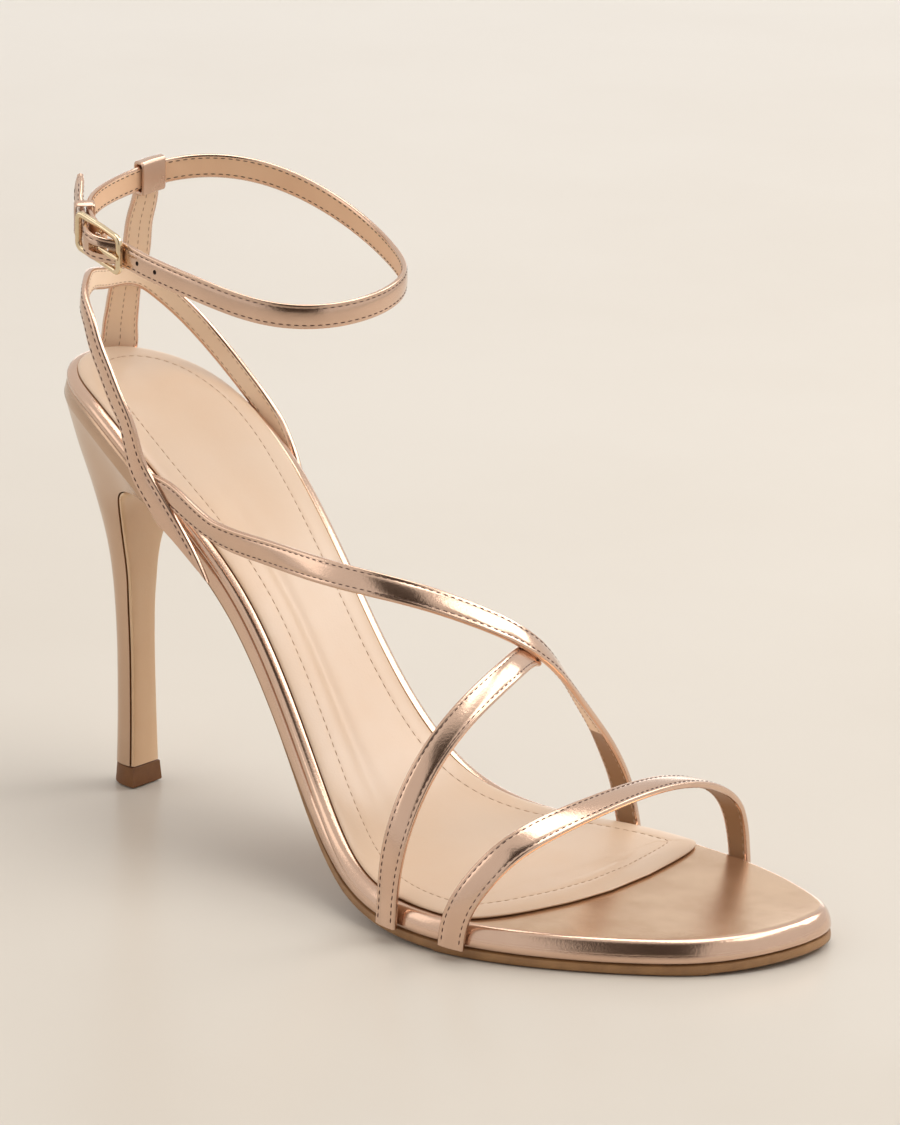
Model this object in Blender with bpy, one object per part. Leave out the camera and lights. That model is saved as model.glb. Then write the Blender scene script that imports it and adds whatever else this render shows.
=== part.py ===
"""Strappy stiletto sandal for the right foot.

Toe along +X, inner side of the foot along +Y, up along +Z; tables in mm, objects in metres.
Tables measure from the back of the heel; the frame's origin is the ground under the shoe's middle.
"""
import math

import bmesh
import bpy
import numpy as np
from mathutils import Matrix, Vector

MM = 0.001
GAP = 0.3
SLACK = 0.05
ORIGIN = (105.8, -5.2, 0.0)
PATH_SAMPLES = 600

# Sole on the last, heel back to toe tip
SOLE_COLUMNS = ("along", "centre", "half_width", "top")
SOLE = (
    (0.0, 5.0, 0.0, 105.2),
    (5.2, 4.8, 13.5, 103.6),
    (20.5, 3.8, 21.5, 99.0),
    (44.2, 1.7, 23.5, 84.9),
    (74.1, -2.6, 19.2, 58.0),
    (107.3, -7.0, 25.4, 19.2),
    (122.5, -7.2, 33.4, 11.2),
    (140.4, -6.0, 39.8, 8.5),
    (170.3, -2.5, 38.0, 7.8),
    (194.0, 1.4, 28.4, 7.8),
    (209.3, 5.4, 15.8, 8.4),
    (214.5, 8.5, 0.0, 8.9),
)
LENGTH = SOLE[-1][0]
END_SHARE = 0.012
STATIONS = 44

# Layers of the sole, measured down from the top of the board
BOARD_DEPTH = 2.8
WALL_TOP = BOARD_DEPTH + GAP
DEPTH_COLUMNS = ("along", "wall_bottom", "outsole_bottom")
DEPTHS = (
    (0.0, 6.4, 7.5),
    (60.0, 6.4, 7.5),
    (95.0, 6.0, 7.2),
    (122.5, 5.3, 7.6),
    (140.0, 5.3, 7.8),
    (LENGTH, 5.3, 7.8),
)
CONTACT_BAND = 0.3

# Side profiles as outward reach and depth
BEAD = ((-1.3, 0.0), (-0.2, 0.1), (0.5, 0.6), (0.8, 1.4), (0.5, 2.2), (-0.3, BOARD_DEPTH))
WALL_EDGE = 0.35
WALL_OUT = 0.1
OUTSOLE_OUT = 0.5
OUTSOLE_ROUND = 0.4
SHANK_COLUMNS = ("along", "outsole_reach")
SHANK = ((90.0, -0.6), (120.0, OUTSOLE_OUT))

# Padded insole, its front edge as shares of the half width
PAD_INSET = 1.5
PAD_HEIGHT = 1.2
PAD_ROUND = 0.5
PAD_TUCK = 0.2
PAD_SHOULDER = 0.85
PAD_COLUMNS = ("along", "lateral_share", "medial_share")
PAD_FRONT = (
    (0.0, 1.0, 1.0),
    (146.0, 1.0, 1.0),
    (153.0, 1.0, 1.0),
    (158.0, 0.96, 1.0),
    (161.5, 0.85, 1.0),
    (164.5, 0.7, 1.0),
    (167.0, 0.52, 0.9),
    (169.0, 0.32, 0.66),
    (170.4, 0.08, 0.3),
)

# Heel, tip to seat; the seat share blends each section into the sole outline
SEAT_FRONT = 48.4
WALL_BACK = 48.9
OUTSOLE_BACK = 52.0
HEEL_STEPS = 11
HEEL_SQUARENESS = 2.3
HEEL_BACK_TURN = 4.0
TIP_HEIGHT = 5.0
HEEL_COLUMNS = ("level", "front", "back", "half_width", "seat_share")
HEEL = (
    (TIP_HEIGHT + GAP, 21.0, 14.0, 4.9, 0.0),
    (15.0, 20.8, 14.1, 4.6, 0.0),
    (26.0, 20.5, 14.0, 4.4, 0.0),
    (37.0, 20.2, 13.7, 4.4, 0.0),
    (47.0, 20.0, 13.1, 4.8, 0.0),
    (55.0, 20.1, 12.3, 5.5, 0.0),
    (62.0, 19.6, 11.4, 6.6, 0.03),
    (68.0, 18.8, 10.2, 7.9, 0.1),
    (73.0, 16.8, 8.8, 8.8, 0.22),
    (77.5, 13.8, 7.0, 9.4, 0.38),
    (82.0, 11.8, 5.4, 10.0, 0.56),
    (86.0, 11.0, 4.2, 10.6, 0.77),
)
BREAST_ROWS = 10
BREAST_THICK = 0.9
BREAST_INSET = 0.7
TIP_COLUMNS = ("level", "flare")
TIP = ((TIP_HEIGHT, 0.0), (TIP_HEIGHT / 2, 0.18), (0.4, 0.35), (0.0, 0.05))

# Straps: width, thickness, rounded edge
STRAP_THICK = 1.8
STRAP_ROUND = 0.45
STRAP_STEP = 4.2
RIM_REACH = BEAD[3][0] + GAP + STRAP_THICK / 2 + 2 * SLACK
AXIS_STEP = 2.0
FOOT_AXIS = (
    (205.0, 6.0, 9.0),
    (170.0, 1.0, 11.0),
    (140.0, 0.0, 20.0),
    (112.0, -1.0, 45.0),
    (82.0, 0.0, 74.0),
    (58.0, 0.0, 108.0),
    (52.0, 0.0, 150.0),
    (52.0, 0.0, 200.0),
)
LATERAL, MEDIAL = -1, 1
# Each strap: widths at both ends, feet on the rim as along and depth, rows as along, across, up
STRAPS = {
    "toe_strap": {
        "widths": (6.6, 6.4),
        "start": (LATERAL, ((155.0, 5.4), (155.2, 2.5), (155.8, -1.0))),
        "rows": (
            (161.0, -44.4, 19.2),
            (165.0, -40.4, 25.1),
            (169.0, -31.0, 29.6),
            (172.0, -17.0, 32.0),
            (173.0, -2.0, 32.4),
            (172.8, 14.0, 30.4),
            (173.0, 26.5, 26.2),
            (173.0, 35.0, 19.0),
        ),
        "end": (MEDIAL, ((173.6, -1.0), (174.0, 2.5), (174.2, 5.4))),
    },
    "long_strap": {
        "widths": (6.0, 6.0),
        "start": (LATERAL, ((46.5, 2.6), (50.5, -0.4))),
        "rows": (
            (66.0, -26.6, 78.2),
            (82.0, -27.2, 76.4),
            (99.0, -28.3, 75.6),
            (111.0, -26.2, 74.5),
            (121.5, -20.6, 72.3),
            (130.3, -12.4, 68.2),
            (137.0, -4.6, 63.4),
            (140.2, 3.4, 57.4),
            (140.2, 14.4, 46.8),
            (138.8, 23.0, 38.3),
            (138.2, 30.0, 30.4),
            (138.6, 34.2, 23.6),
            (139.8, 36.6, 16.8),
        ),
        "end": (MEDIAL, ((142.2, -2.0), (143.2, 2.5), (143.6, 5.4))),
    },
    "cross_strap": {
        "widths": (6.4, 6.0),
        "start": (LATERAL, ((137.5, 5.4), (137.4, 2.5), (137.3, -1.0))),
        "rows": (
            (138.6, -47.6, 21.5),
            (140.0, -45.0, 31.2),
            (141.6, -40.8, 39.6),
            (142.8, -34.5, 46.4),
            (143.6, -27.6, 51.2),
            (143.9, -20.2, 54.6),
            (143.2, -12.0, 57.0),
            (141.8, -4.6, 58.2),
            (140.4, 1.6, 57.8),
            (139.2, 6.2, 55.6),
        ),
        "end": None,
    },
    "lateral_quarter": {
        "widths": (6.4, 5.4),
        "start": (LATERAL, ((57.0, 8.2), (52.0, 5.6), (46.7, 2.3), (41.2, -0.6))),
        "rows": (
            (38.7, -25.8, 98.6),
            (36.1, -26.6, 104.1),
            (32.0, -26.2, 110.7),
            (27.9, -25.4, 117.0),
            (25.0, -24.0, 121.0),
            (21.1, -21.5, 124.3),
            (17.4, -17.0, 126.4),
            (13.6, -11.0, 127.2),
            (10.9, -4.0, 126.0),
            (9.2, 2.0, 125.2),
            (8.2, 7.0, 124.8),
        ),
        "end": None,
    },
    "medial_quarter": {
        "widths": (6.4, 5.4),
        "start": (MEDIAL, ((50.5, 8.4), (46.5, 5.2), (42.3, 2.0), (37.6, -0.9))),
        "rows": (
            (33.5, 28.5, 95.4),
            (28.8, 27.8, 99.8),
            (21.4, 25.0, 107.3),
            (15.6, 20.8, 114.6),
            (11.6, 16.2, 120.2),
            (9.9, 12.4, 123.2),
            (9.1, 9.2, 124.4),
            (8.8, 6.2, 124.8),
        ),
        "end": None,
    },
    "back_stay": {
        "widths": (9.2, 5.0),
        "start": (MEDIAL, ((1.8, 5.4), (1.8, 3.0), (1.8, -0.6))),
        "rows": (
            (1.0, 13.0, 108.9),
            (2.8, 12.0, 113.8),
            (4.8, 10.8, 119.6),
            (7.7, 9.4, 125.5),
            (10.7, 8.2, 130.6),
            (12.9, 7.0, 138.5),
        ),
        "end": None,
    },
}
UPPER_STRAPS = ("lateral_quarter", "medial_quarter", "back_stay", "long_strap", "cross_strap")
# The heel is narrower than long, so its outer strap faces sideways more than straight away from the axis
SIDE_FACING = {"lateral_quarter": 3.0}
# Straps that slant over the rim are trimmed along the bottom of the wall
TRIMMED = ("lateral_quarter", "medial_quarter")
TRIM_ENDS = (40.0, 72.0)
TRIM_COLUMNS = ("along", "depth")
TRIM = ((40.0, 6.2), (49.0, 5.3), (55.0, 4.5), (72.0, 3.4))
TRIM_DROP = 14.0
TRIM_REACH = (-3.0, 5.0)
TRIM_STATIONS = 14

# Ankle ring from the buckle's bar over the back, round the inner side and the front, as along, across, up
RING = (
    (33.3, -27.5, 142.0),
    (28.0, -25.9, 144.0),
    (22.6, -21.6, 146.3),
    (18.6, -14.0, 147.9),
    (16.7, -4.0, 149.2),
    (18.6, 7.6, 151.2),
    (25.6, 16.6, 152.5),
    (37.0, 23.9, 151.4),
    (52.0, 27.4, 147.2),
    (67.0, 26.4, 141.9),
    (81.0, 20.8, 137.6),
    (91.6, 11.2, 135.4),
    (95.6, -2.4, 133.3),
    (91.0, -15.4, 131.6),
    (80.0, -24.4, 132.0),
    (64.0, -29.4, 135.6),
    (48.0, -29.4, 138.5),
)
RING_OVERLAP = 3
RING_SAMPLES = 1440
ANKLE_WIDTH = 5.8
ANKLE_THICK = 1.4
ANKLE_ROUND = 0.35
ANKLE_STEP = 3.6

# Buckle on the ring: the strap passes under both ends of the frame and over the bar between them
WIRE = 0.75
BAR = 0.6
FRAME_BACK = 6.2
FRAME_FRONT = -7.4
FOLD_THICK = 0.8
FOLD_RADIUS = BAR + GAP + SLACK + FOLD_THICK / 2
BAR_OFFSET = FOLD_RADIUS + GAP + SLACK
PRONG_WIDTH = 1.4
PRONG_THICK = 1.1
HOOK_RADIUS = BAR + GAP + PRONG_THICK / 2
OVER_OFFSET = BAR_OFFSET + HOOK_RADIUS + PRONG_THICK / 2 + GAP + ANKLE_THICK / 2
TAIL_OFFSET = ANKLE_THICK + GAP + SLACK
FRONT_OFFSET = ANKLE_THICK / 2 + GAP + SLACK + WIRE
BACK_OFFSET = TAIL_OFFSET + 0.1 + ANKLE_THICK / 2 + GAP + WIRE
FRAME_HALF = ANKLE_WIDTH / 2 + 0.4 + WIRE
FRAME_CORNER = 1.6
CORNER_STEPS = 5
WIRE_SIDES = 10
TAIL_COLUMNS = ("past_bar", "offset", "rise")
TAIL = (
    (FRAME_FRONT - 6.0, 0.0, 0.0),
    (FRAME_FRONT, 0.0, 0.0),
    (FRAME_FRONT + 1.2, 0.35, 0.0),
    (-1.8, OVER_OFFSET - 0.35, 0.0),
    (0.0, OVER_OFFSET, 0.0),
    (1.8, OVER_OFFSET - 0.3, 0.0),
    (4.6, TAIL_OFFSET + 0.75, 0.0),
    (FRAME_BACK, TAIL_OFFSET + 0.1, 0.0),
    (9.5, TAIL_OFFSET, 0.0),
    (13.5, TAIL_OFFSET + 0.15, 0.3),
    (17.5, TAIL_OFFSET + 1.15, 2.2),
    (21.5, TAIL_OFFSET + 1.65, 5.6),
)
TAIL_STEP = 1.6
TAIL_TAPER = (0.94, 0.78, 0.45)
FOLD_TURNS = np.linspace(100, -90, 9)
PLAIN_START = 3.0
HOLE_PLACES = (FRAME_FRONT - 5.0, FRAME_FRONT - 11.0)
HOLE_RADIUS = 0.75
ROUND_SIDES = 12
HOLE_DEPTH = 6.0
PRONG_ROUND = 0.25
PRONG_START = -2.0
PRONG_OVERHANG = WIRE + 0.6
PRONG_STEPS = 5
HOOK_TURNS = np.linspace(-160, 110, 13)
SLOT_COLUMNS = ("first", "last", "low", "high", "width")
SLOTS = (
    (FRAME_FRONT + 1.3, -0.4, 0.9, OVER_OFFSET + 2.0, PRONG_WIDTH + 0.9),
    (-2.4, 2.5, -1.0, OVER_OFFSET - ANKLE_THICK / 2 - 0.1, PRONG_WIDTH + 1.1),
)
KEEPER_PLACE = 10.8
KEEPER_LENGTH = 4.0
KEEPER_WALL = 0.8
KEEPER_ROOM = 0.25
KEEPER_SIDE = 0.45
TUNNEL_AT = 42.0
TUNNEL_INNER = ANKLE_THICK / 2 + GAP + SLACK
TUNNEL_HALF = ANKLE_WIDTH / 2 + GAP + SLACK
TUNNEL_LENGTH = 7.0
TUNNEL_WALL = 1.3
BAND_STEPS = 4
BAND_CUT = 0.5
STAY_DROP = 1.0
STAY_REACH = 3.2
STAY_SINK = 0.12


def column(rows, columns, name):
    """One named column of a table."""
    return np.array([row[columns.index(name)] for row in rows], float)


def spline(knots, values):
    """Natural cubic spline through the values, as a function."""
    x = np.asarray(knots, float)
    y = np.asarray(values, float).reshape(len(x), -1)
    h = np.diff(x)
    a = np.eye(len(x))
    b = np.zeros_like(y)
    for i in range(1, len(x) - 1):
        a[i, i - 1:i + 2] = h[i - 1], 2 * (h[i - 1] + h[i]), h[i]
        b[i] = 6 * ((y[i + 1] - y[i]) / h[i] - (y[i] - y[i - 1]) / h[i - 1])
    m = np.linalg.solve(a, b)

    def value(t):
        t = np.atleast_1d(np.asarray(t, float))
        k = np.clip(np.searchsorted(x, t) - 1, 0, len(x) - 2)
        d = (t - x[k])[:, None]
        e = (x[k + 1] - t)[:, None]
        w = h[k][:, None]
        cubic = (m[k] * e ** 3 + m[k + 1] * d ** 3) / (6 * w)
        return cubic + (y[k] / w - m[k] * w / 6) * e + (y[k + 1] / w - m[k + 1] * w / 6) * d
    return value


def unit(vectors):
    """Vectors scaled to length one, row by row."""
    v = np.asarray(vectors, float)
    return v / np.linalg.norm(v, axis=-1, keepdims=True)


def even_path(rows, step):
    """Smooth path through the rows, in even steps, with the share of the rows passed at each point."""
    rows = np.asarray(rows, float)
    knots = np.r_[0, np.cumsum(np.linalg.norm(np.diff(rows[:, :3], axis=0), axis=1))]
    curve = spline(knots, rows[:, :3])
    fine = curve(np.linspace(0, knots[-1], PATH_SAMPLES))
    run = np.r_[0, np.cumsum(np.linalg.norm(np.diff(fine, axis=0), axis=1))]
    count = max(3, int(round(run[-1] / step)) + 1)
    at = np.linspace(0, run[-1], count)
    path = np.column_stack([np.interp(at, run, fine[:, k]) for k in range(3)])
    passed = np.interp(at, run, np.linspace(0, knots[-1], PATH_SAMPLES))
    return path, np.interp(passed, knots, np.linspace(0, 1, len(rows)))


ALONG = column(SOLE, SOLE_COLUMNS, "along")
CENTRE = spline(ALONG, column(SOLE, SOLE_COLUMNS, "centre"))
TOP = spline(ALONG, column(SOLE, SOLE_COLUMNS, "top"))
WIDTH_KNOTS = np.arccos(np.clip(1 - 2 * ALONG / LENGTH, -1, 1)) / math.pi
HALF_WIDTH = spline(WIDTH_KNOTS, column(SOLE, SOLE_COLUMNS, "half_width"))


def station(along):
    """Share of the sole's run at a distance from the heel back."""
    return np.arccos(np.clip(1 - 2 * np.asarray(along, float) / LENGTH, -1, 1)) / math.pi


def along_of(shares):
    """Distance from the heel back at shares of the sole's run."""
    return LENGTH * (1 - np.cos(math.pi * np.asarray(shares, float))) / 2


def upward(along):
    """Direction square to the top of the sole, pointing up."""
    reach = 0.2
    slope = (TOP(along + reach)[:, 0] - TOP(along - reach)[:, 0]) / (2 * reach)
    return unit(np.column_stack([-slope, 0 * slope, 1 + 0 * slope]))


def sole_ring(shares, lateral=1.0, medial=1.0):
    """Ring on top of the sole, lateral side toeward then back: points, outward and upward."""
    along = along_of(shares)
    half = HALF_WIDTH(shares)[:, 0]
    sides = []
    for side, share in ((LATERAL, lateral), (MEDIAL, medial)):
        across = CENTRE(along)[:, 0] + side * half * share
        sides.append(np.column_stack([along, across, TOP(along)[:, 0]]))
    ring = np.vstack([sides[0], sides[1][::-1]])
    up = np.vstack([upward(along), upward(along)[::-1]])
    tangent = np.roll(ring, -1, axis=0) - np.roll(ring, 1, axis=0)
    return ring, unit(np.cross(tangent, up)), up


def both(values):
    """Values of one side repeated for the ring."""
    return np.r_[values, values[::-1]]


def depth_at(shares, name):
    """Depth of a layer face round the ring."""
    table = column(DEPTHS, DEPTH_COLUMNS, name)
    return both(np.interp(along_of(shares), column(DEPTHS, DEPTH_COLUMNS, "along"), table))


def mesh_object(name, points, faces, collection):
    """New object from points in mm and faces, with its faces turned outward."""
    mesh = bpy.data.meshes.new(name)
    mesh.from_pydata((np.asarray(points) * MM).tolist(), [], faces)
    box = bmesh.new()
    box.from_mesh(mesh)
    bmesh.ops.recalc_face_normals(box, faces=box.faces)
    box.to_mesh(mesh)
    box.free()
    made = bpy.data.objects.new(name, mesh)
    collection.objects.link(made)
    return made


def loft(loops, closed_ladder=False):
    """Points and faces between rings of equal count, ends capped."""
    count = len(loops[0])
    points = np.vstack(loops)
    faces = []
    for level in range(len(loops) - 1):
        for i in range(count):
            j = (i + 1) % count
            low = level * count
            faces.append((low + i, low + j, low + count + j, low + count + i))
    last = (len(loops) - 1) * count
    for base in (0, last):
        if not closed_ladder:
            faces.append(tuple(base + i for i in range(count)))
            continue
        for i in range(count // 2 - 1):
            faces.append((base + i, base + i + 1, base + count - 2 - i, base + count - 1 - i))
    return points, faces


def sole_layer(name, shares, profile, collection, lateral=1.0, medial=1.0, ground=False):
    """Layer of the sole from its side profile of outward reach and depth."""
    ring, outward, up = sole_ring(shares, lateral, medial)
    loops = []
    for out, depth in profile:
        drop = np.broadcast_to(np.asarray(depth, float), len(ring))[:, None]
        loops.append(ring + outward * out - up * drop)
    if ground:
        low = loops[-1][:, 2]
        loops[-1][:, 2] = np.where(low < CONTACT_BAND, 0.0, low)
    return mesh_object(name, *loft(loops, closed_ladder=True), collection)


def shares_between(first, last, count):
    """Shares of the sole's run between two distances from the heel."""
    return np.linspace(station(first), station(last), count)


def facing_away(points, sideways):
    """Directions away from the axis of the foot, turned sideways by a factor across."""
    axis, _ = even_path(FOOT_AXIS, AXIS_STEP)
    away = []
    for point in points:
        nearest = axis[np.argmin(np.linalg.norm(axis - point, axis=1))]
        away.append((point - nearest) * (1.0, sideways, 1.0))
    return unit(away)


def square_to(directions, tangents):
    """Directions with their part along the run taken out."""
    across = directions - tangents * (directions * tangents).sum(axis=1, keepdims=True)
    return unit(across)


def tangents_of(path):
    """Run directions along an open path."""
    return unit(np.gradient(path, axis=0))


def strap_section(width, thick, edge):
    """Rounded strap section as pairs across and outward."""
    a, b = width / 2, thick / 2
    edge = min(edge, 0.8 * b)
    corners = ((a - edge, -b), (a, -b + edge), (a, b - edge), (a - edge, b))
    return corners + tuple((-x, -y) for x, y in corners)


def ribbon(name, path, outward, widths, thick, edge, collection):
    """Strap swept along a path."""
    tangent = tangents_of(path)
    across = unit(np.cross(tangent, outward))
    loops = []
    thicks = np.broadcast_to(np.asarray(thick, float), len(path))
    for place, side, face, width, deep in zip(path, across, outward, widths, thicks):
        section = strap_section(width, deep, edge)
        loops.append(np.array([place + side * u + face * v for u, v in section]))
    return mesh_object(name, *loft(loops), collection)


def rim_feet(side, feet):
    """Points on the outside of the rim from along and depth pairs, and the way the rim faces."""
    points, facing = [], []
    for along, depth in feet:
        shares = station(np.array([along - 1.0, along, along + 1.0]))
        ring, outward, up = sole_ring(shares)
        k = 1 if side == LATERAL else 4
        points.append(ring[k] + outward[k] * RIM_REACH - up[k] * depth)
        facing.append(outward[k])
    return points, facing


def swept_strap(name, points, facing, widths, collection):
    """Strap through points that face given ways, its width running from first to last."""
    path, share = even_path(points, STRAP_STEP)
    rows = np.linspace(0, 1, len(points))
    turned = np.column_stack([np.interp(share, rows, np.asarray(facing)[:, k]) for k in range(3)])
    outward = square_to(turned, tangents_of(path))
    spread = np.interp(share, (0, 1), widths)
    return ribbon(name, path, outward, spread, STRAP_THICK, STRAP_ROUND, collection)


def strap(name, collection):
    """Strap of the upper from its table."""
    table = STRAPS[name]
    rows = list(table["rows"])
    if name == "back_stay":
        rows += tunnel_foot()
    facing = list(facing_away(rows, SIDE_FACING.get(name, 1.0)))
    feet, turned = rim_feet(*table["start"])
    rows, facing = feet + rows, turned + facing
    if table["end"]:
        feet, turned = rim_feet(*table["end"])
        rows, facing = rows + feet, facing + turned
    made = swept_strap(name, rows, facing, table["widths"], collection)
    if name in TRIMMED:
        combine(made, [trim_tool(name + "_trim", table["start"][0], collection)], "DIFFERENCE")
    return made


def trim_tool(name, side, collection):
    """Block that cuts a slanting strap off along the bottom of the wall."""
    loops = []
    for along in np.linspace(*TRIM_ENDS, TRIM_STATIONS):
        top = np.interp(along, column(TRIM, TRIM_COLUMNS, "along"), column(TRIM, TRIM_COLUMNS, "depth"))
        feet, facing = rim_feet(side, ((along, top), (along, top + TRIM_DROP)))
        near, far = (facing[0] * reach for reach in TRIM_REACH)
        loops.append(np.array([feet[0] + near, feet[0] + far, feet[1] + far, feet[1] + near]))
    return mesh_object(name, *loft(loops), collection)


def ring_track():
    """Ankle ring from the bar over the back: points and run lengths."""
    rows = np.array(RING[-RING_OVERLAP:] + RING + RING[:RING_OVERLAP + 1])
    knots = np.r_[0, np.cumsum(np.linalg.norm(np.diff(rows, axis=0), axis=1))]
    ends = knots[RING_OVERLAP], knots[RING_OVERLAP + len(RING)]
    points = spline(knots, rows)(np.linspace(*ends, RING_SAMPLES + 1))
    return points, np.r_[0, np.cumsum(np.linalg.norm(np.diff(points, axis=0), axis=1))]


RING_POINTS, RING_RUN = ring_track()
GIRTH = RING_RUN[-1]


def ring_at(place):
    """Ring points at places along its run."""
    at = np.mod(np.asarray(place, float), GIRTH)
    return np.column_stack([np.interp(at, RING_RUN, RING_POINTS[:, k]) for k in range(3)])


def ring_outward(place):
    """Level outward directions of the ring."""
    reach = 1.5
    run = ring_at(np.asarray(place) + reach) - ring_at(np.asarray(place) - reach)
    return unit(np.column_stack([-run[:, 1], run[:, 0], 0 * run[:, 0]]))


def ring_spot(place, offset=0.0, rise=0.0):
    """Spots off the ring by an outward offset and a rise."""
    place = np.atleast_1d(np.asarray(place, float))
    shift = np.broadcast_to(np.asarray(offset, float), len(place))[:, None]
    lift = np.broadcast_to(np.asarray(rise, float), len(place))
    return ring_at(place) + ring_outward(place) * shift + np.column_stack([0 * lift, 0 * lift, lift])


def tunnel_foot():
    """Last two points of the back stay, on the outer wall of the tunnel."""
    outer = TUNNEL_INNER + STRAP_THICK / 2 + STAY_SINK
    low = ring_spot(TUNNEL_AT, outer, -TUNNEL_HALF - STAY_DROP)
    high = ring_spot(TUNNEL_AT, outer, -TUNNEL_HALF + STAY_REACH)
    return [tuple(low[0]), tuple(high[0])]


def band(name, place, length, offsets, half, wall, collection):
    """Short closed band round the ankle strap between two outward offsets."""
    inner, outer = offsets
    cut = BAND_CUT
    rims = []
    for grow in (0.0, wall):
        a, b, h = inner - grow, outer + grow, half + grow
        rims.append(((a, -h + cut), (a + cut, -h), (b - cut, -h), (b, -h + cut),
                     (b, h - cut), (b - cut, h), (a + cut, h), (a, h - cut)))
    places = place + np.linspace(-length / 2, length / 2, BAND_STEPS)
    points, faces = [], []
    for spot in places:
        for rim in rims:
            points += [ring_spot(spot, o, r)[0] for o, r in rim]
    count = len(rims[0])
    pitch = 2 * count
    for k in range(BAND_STEPS - 1):
        for shift in (0, count):
            for i in range(count):
                j = (i + 1) % count
                base = k * pitch + shift
                faces.append((base + i, base + j, base + pitch + j, base + pitch + i))
    for base in (0, (BAND_STEPS - 1) * pitch):
        for i in range(count):
            j = (i + 1) % count
            faces.append((base + i, base + j, base + count + j, base + count + i))
    return mesh_object(name, points, faces, collection)


def combine(target, tools, operation):
    """Boolean of other solids on the target, applied."""
    for tool in tools:
        change = target.modifiers.new("join", "BOOLEAN")
        change.operation = operation
        change.solver = "EXACT"
        change.object = tool
    bpy.context.view_layer.update()
    ready = target.evaluated_get(bpy.context.evaluated_depsgraph_get())
    mesh = bpy.data.meshes.new_from_object(ready)
    target.modifiers.clear()
    target.data = mesh
    mesh.name = target.name


def build_sole(parts):
    """Board with its bead, wall, outsole and padded insole."""
    whole = np.linspace(END_SHARE, 1 - END_SHARE, STATIONS)
    sole_layer("insole_board", whole, BEAD, parts)
    front = shares_between(WALL_BACK, along_of(1 - END_SHARE), STATIONS - 10)
    bottom = depth_at(front, "wall_bottom")
    profile = ((WALL_OUT - WALL_EDGE, WALL_TOP), (WALL_OUT, WALL_TOP + WALL_EDGE),
               (WALL_OUT, bottom - WALL_EDGE), (WALL_OUT - WALL_EDGE, bottom))
    sole_layer("sole_wall", front, profile, parts)
    under = shares_between(OUTSOLE_BACK, along_of(1 - END_SHARE), STATIONS - 8)
    roof = depth_at(under, "wall_bottom") + GAP
    floor = depth_at(under, "outsole_bottom")
    shank = column(SHANK, SHANK_COLUMNS, "along")
    reach = both(np.interp(along_of(under), shank, column(SHANK, SHANK_COLUMNS, "outsole_reach")))[:, None]
    profile = ((reach - OUTSOLE_ROUND, roof), (reach, roof + OUTSOLE_ROUND / 2),
               (reach, floor - OUTSOLE_ROUND), (reach - OUTSOLE_ROUND, floor))
    sole_layer("outsole", under, profile, parts, ground=True)
    edge = column(PAD_FRONT, PAD_COLUMNS, "along")
    back = np.linspace(END_SHARE, station(edge[1]), STATIONS - 14)
    pad = np.r_[back, station(edge[2:])]
    lateral = np.interp(along_of(pad), edge, column(PAD_FRONT, PAD_COLUMNS, "lateral_share"))
    medial = np.interp(along_of(pad), edge, column(PAD_FRONT, PAD_COLUMNS, "medial_share"))
    profile = ((-PAD_INSET - PAD_ROUND * 2, -GAP - PAD_HEIGHT),
               (-PAD_INSET - PAD_ROUND / 2, -GAP - PAD_HEIGHT * PAD_SHOULDER),
               (-PAD_INSET, -GAP - PAD_HEIGHT / 2),
               (-PAD_INSET - PAD_TUCK, -GAP))
    sole_layer("insole", pad, profile, parts, lateral, medial)


def heel_loops():
    """Sections of the heel from the seat down to the tip."""
    shares = shares_between(along_of(END_SHARE), SEAT_FRONT, HEEL_STEPS)
    ring, outward, up = sole_ring(shares)
    bottom = depth_at(shares, "wall_bottom")[:, None]
    seat = ring + outward * WALL_OUT - up * bottom
    loops = [ring + outward * (WALL_OUT - WALL_EDGE) - up * WALL_TOP,
             ring + outward * WALL_OUT - up * (WALL_TOP + WALL_EDGE),
             seat]
    for row in reversed(HEEL):
        size = dict(zip(HEEL_COLUMNS, row))
        share = size.pop("seat_share")
        loops.append(heel_section(**size) * (1 - share) + seat * share)
    return loops


def heel_section(level, front, back, half_width):
    """Section with a flat front and a rounded back, lateral side first."""
    turn = np.radians(np.linspace(HEEL_BACK_TURN, 90, HEEL_STEPS))
    power = 2 / HEEL_SQUARENESS
    x = front - (front - back) * np.cos(turn) ** power
    y = half_width * np.sin(turn) ** power
    lateral = np.column_stack([x, -y, 0 * x + level])
    medial = np.column_stack([x, y, 0 * x + level])
    return np.vstack([lateral, medial[::-1]])


def build_heel(parts):
    """Heel, its breast cover and its tip."""
    loops = heel_loops()
    mesh_object("heel", *loft(loops, closed_ladder=True), parts)
    rows = loops[::-1][:BREAST_ROWS]
    lateral = np.array([loop[HEEL_STEPS - 1] for loop in rows])
    medial = np.array([loop[HEEL_STEPS] for loop in rows])
    middle = (lateral + medial) / 2
    widths = np.linalg.norm(medial - lateral, axis=1) - BREAST_INSET
    tangent = tangents_of(middle)
    face = unit(np.cross(unit(medial - lateral), tangent))
    path = middle + face * (GAP + BREAST_THICK / 2)
    ribbon("heel_breast", path, face, widths, BREAST_THICK, BREAST_THICK / 4, parts)
    end = dict(zip(HEEL_COLUMNS, HEEL[0]))
    front = end["front"] + GAP + BREAST_THICK
    tip = []
    for row in TIP:
        size = dict(zip(TIP_COLUMNS, row))
        grow = size["flare"]
        tip.append(heel_section(size["level"], front + grow, end["back"] - grow, end["half_width"] + grow))
    mesh_object("heel_tip", *loft(tip, closed_ladder=True), parts)


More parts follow.
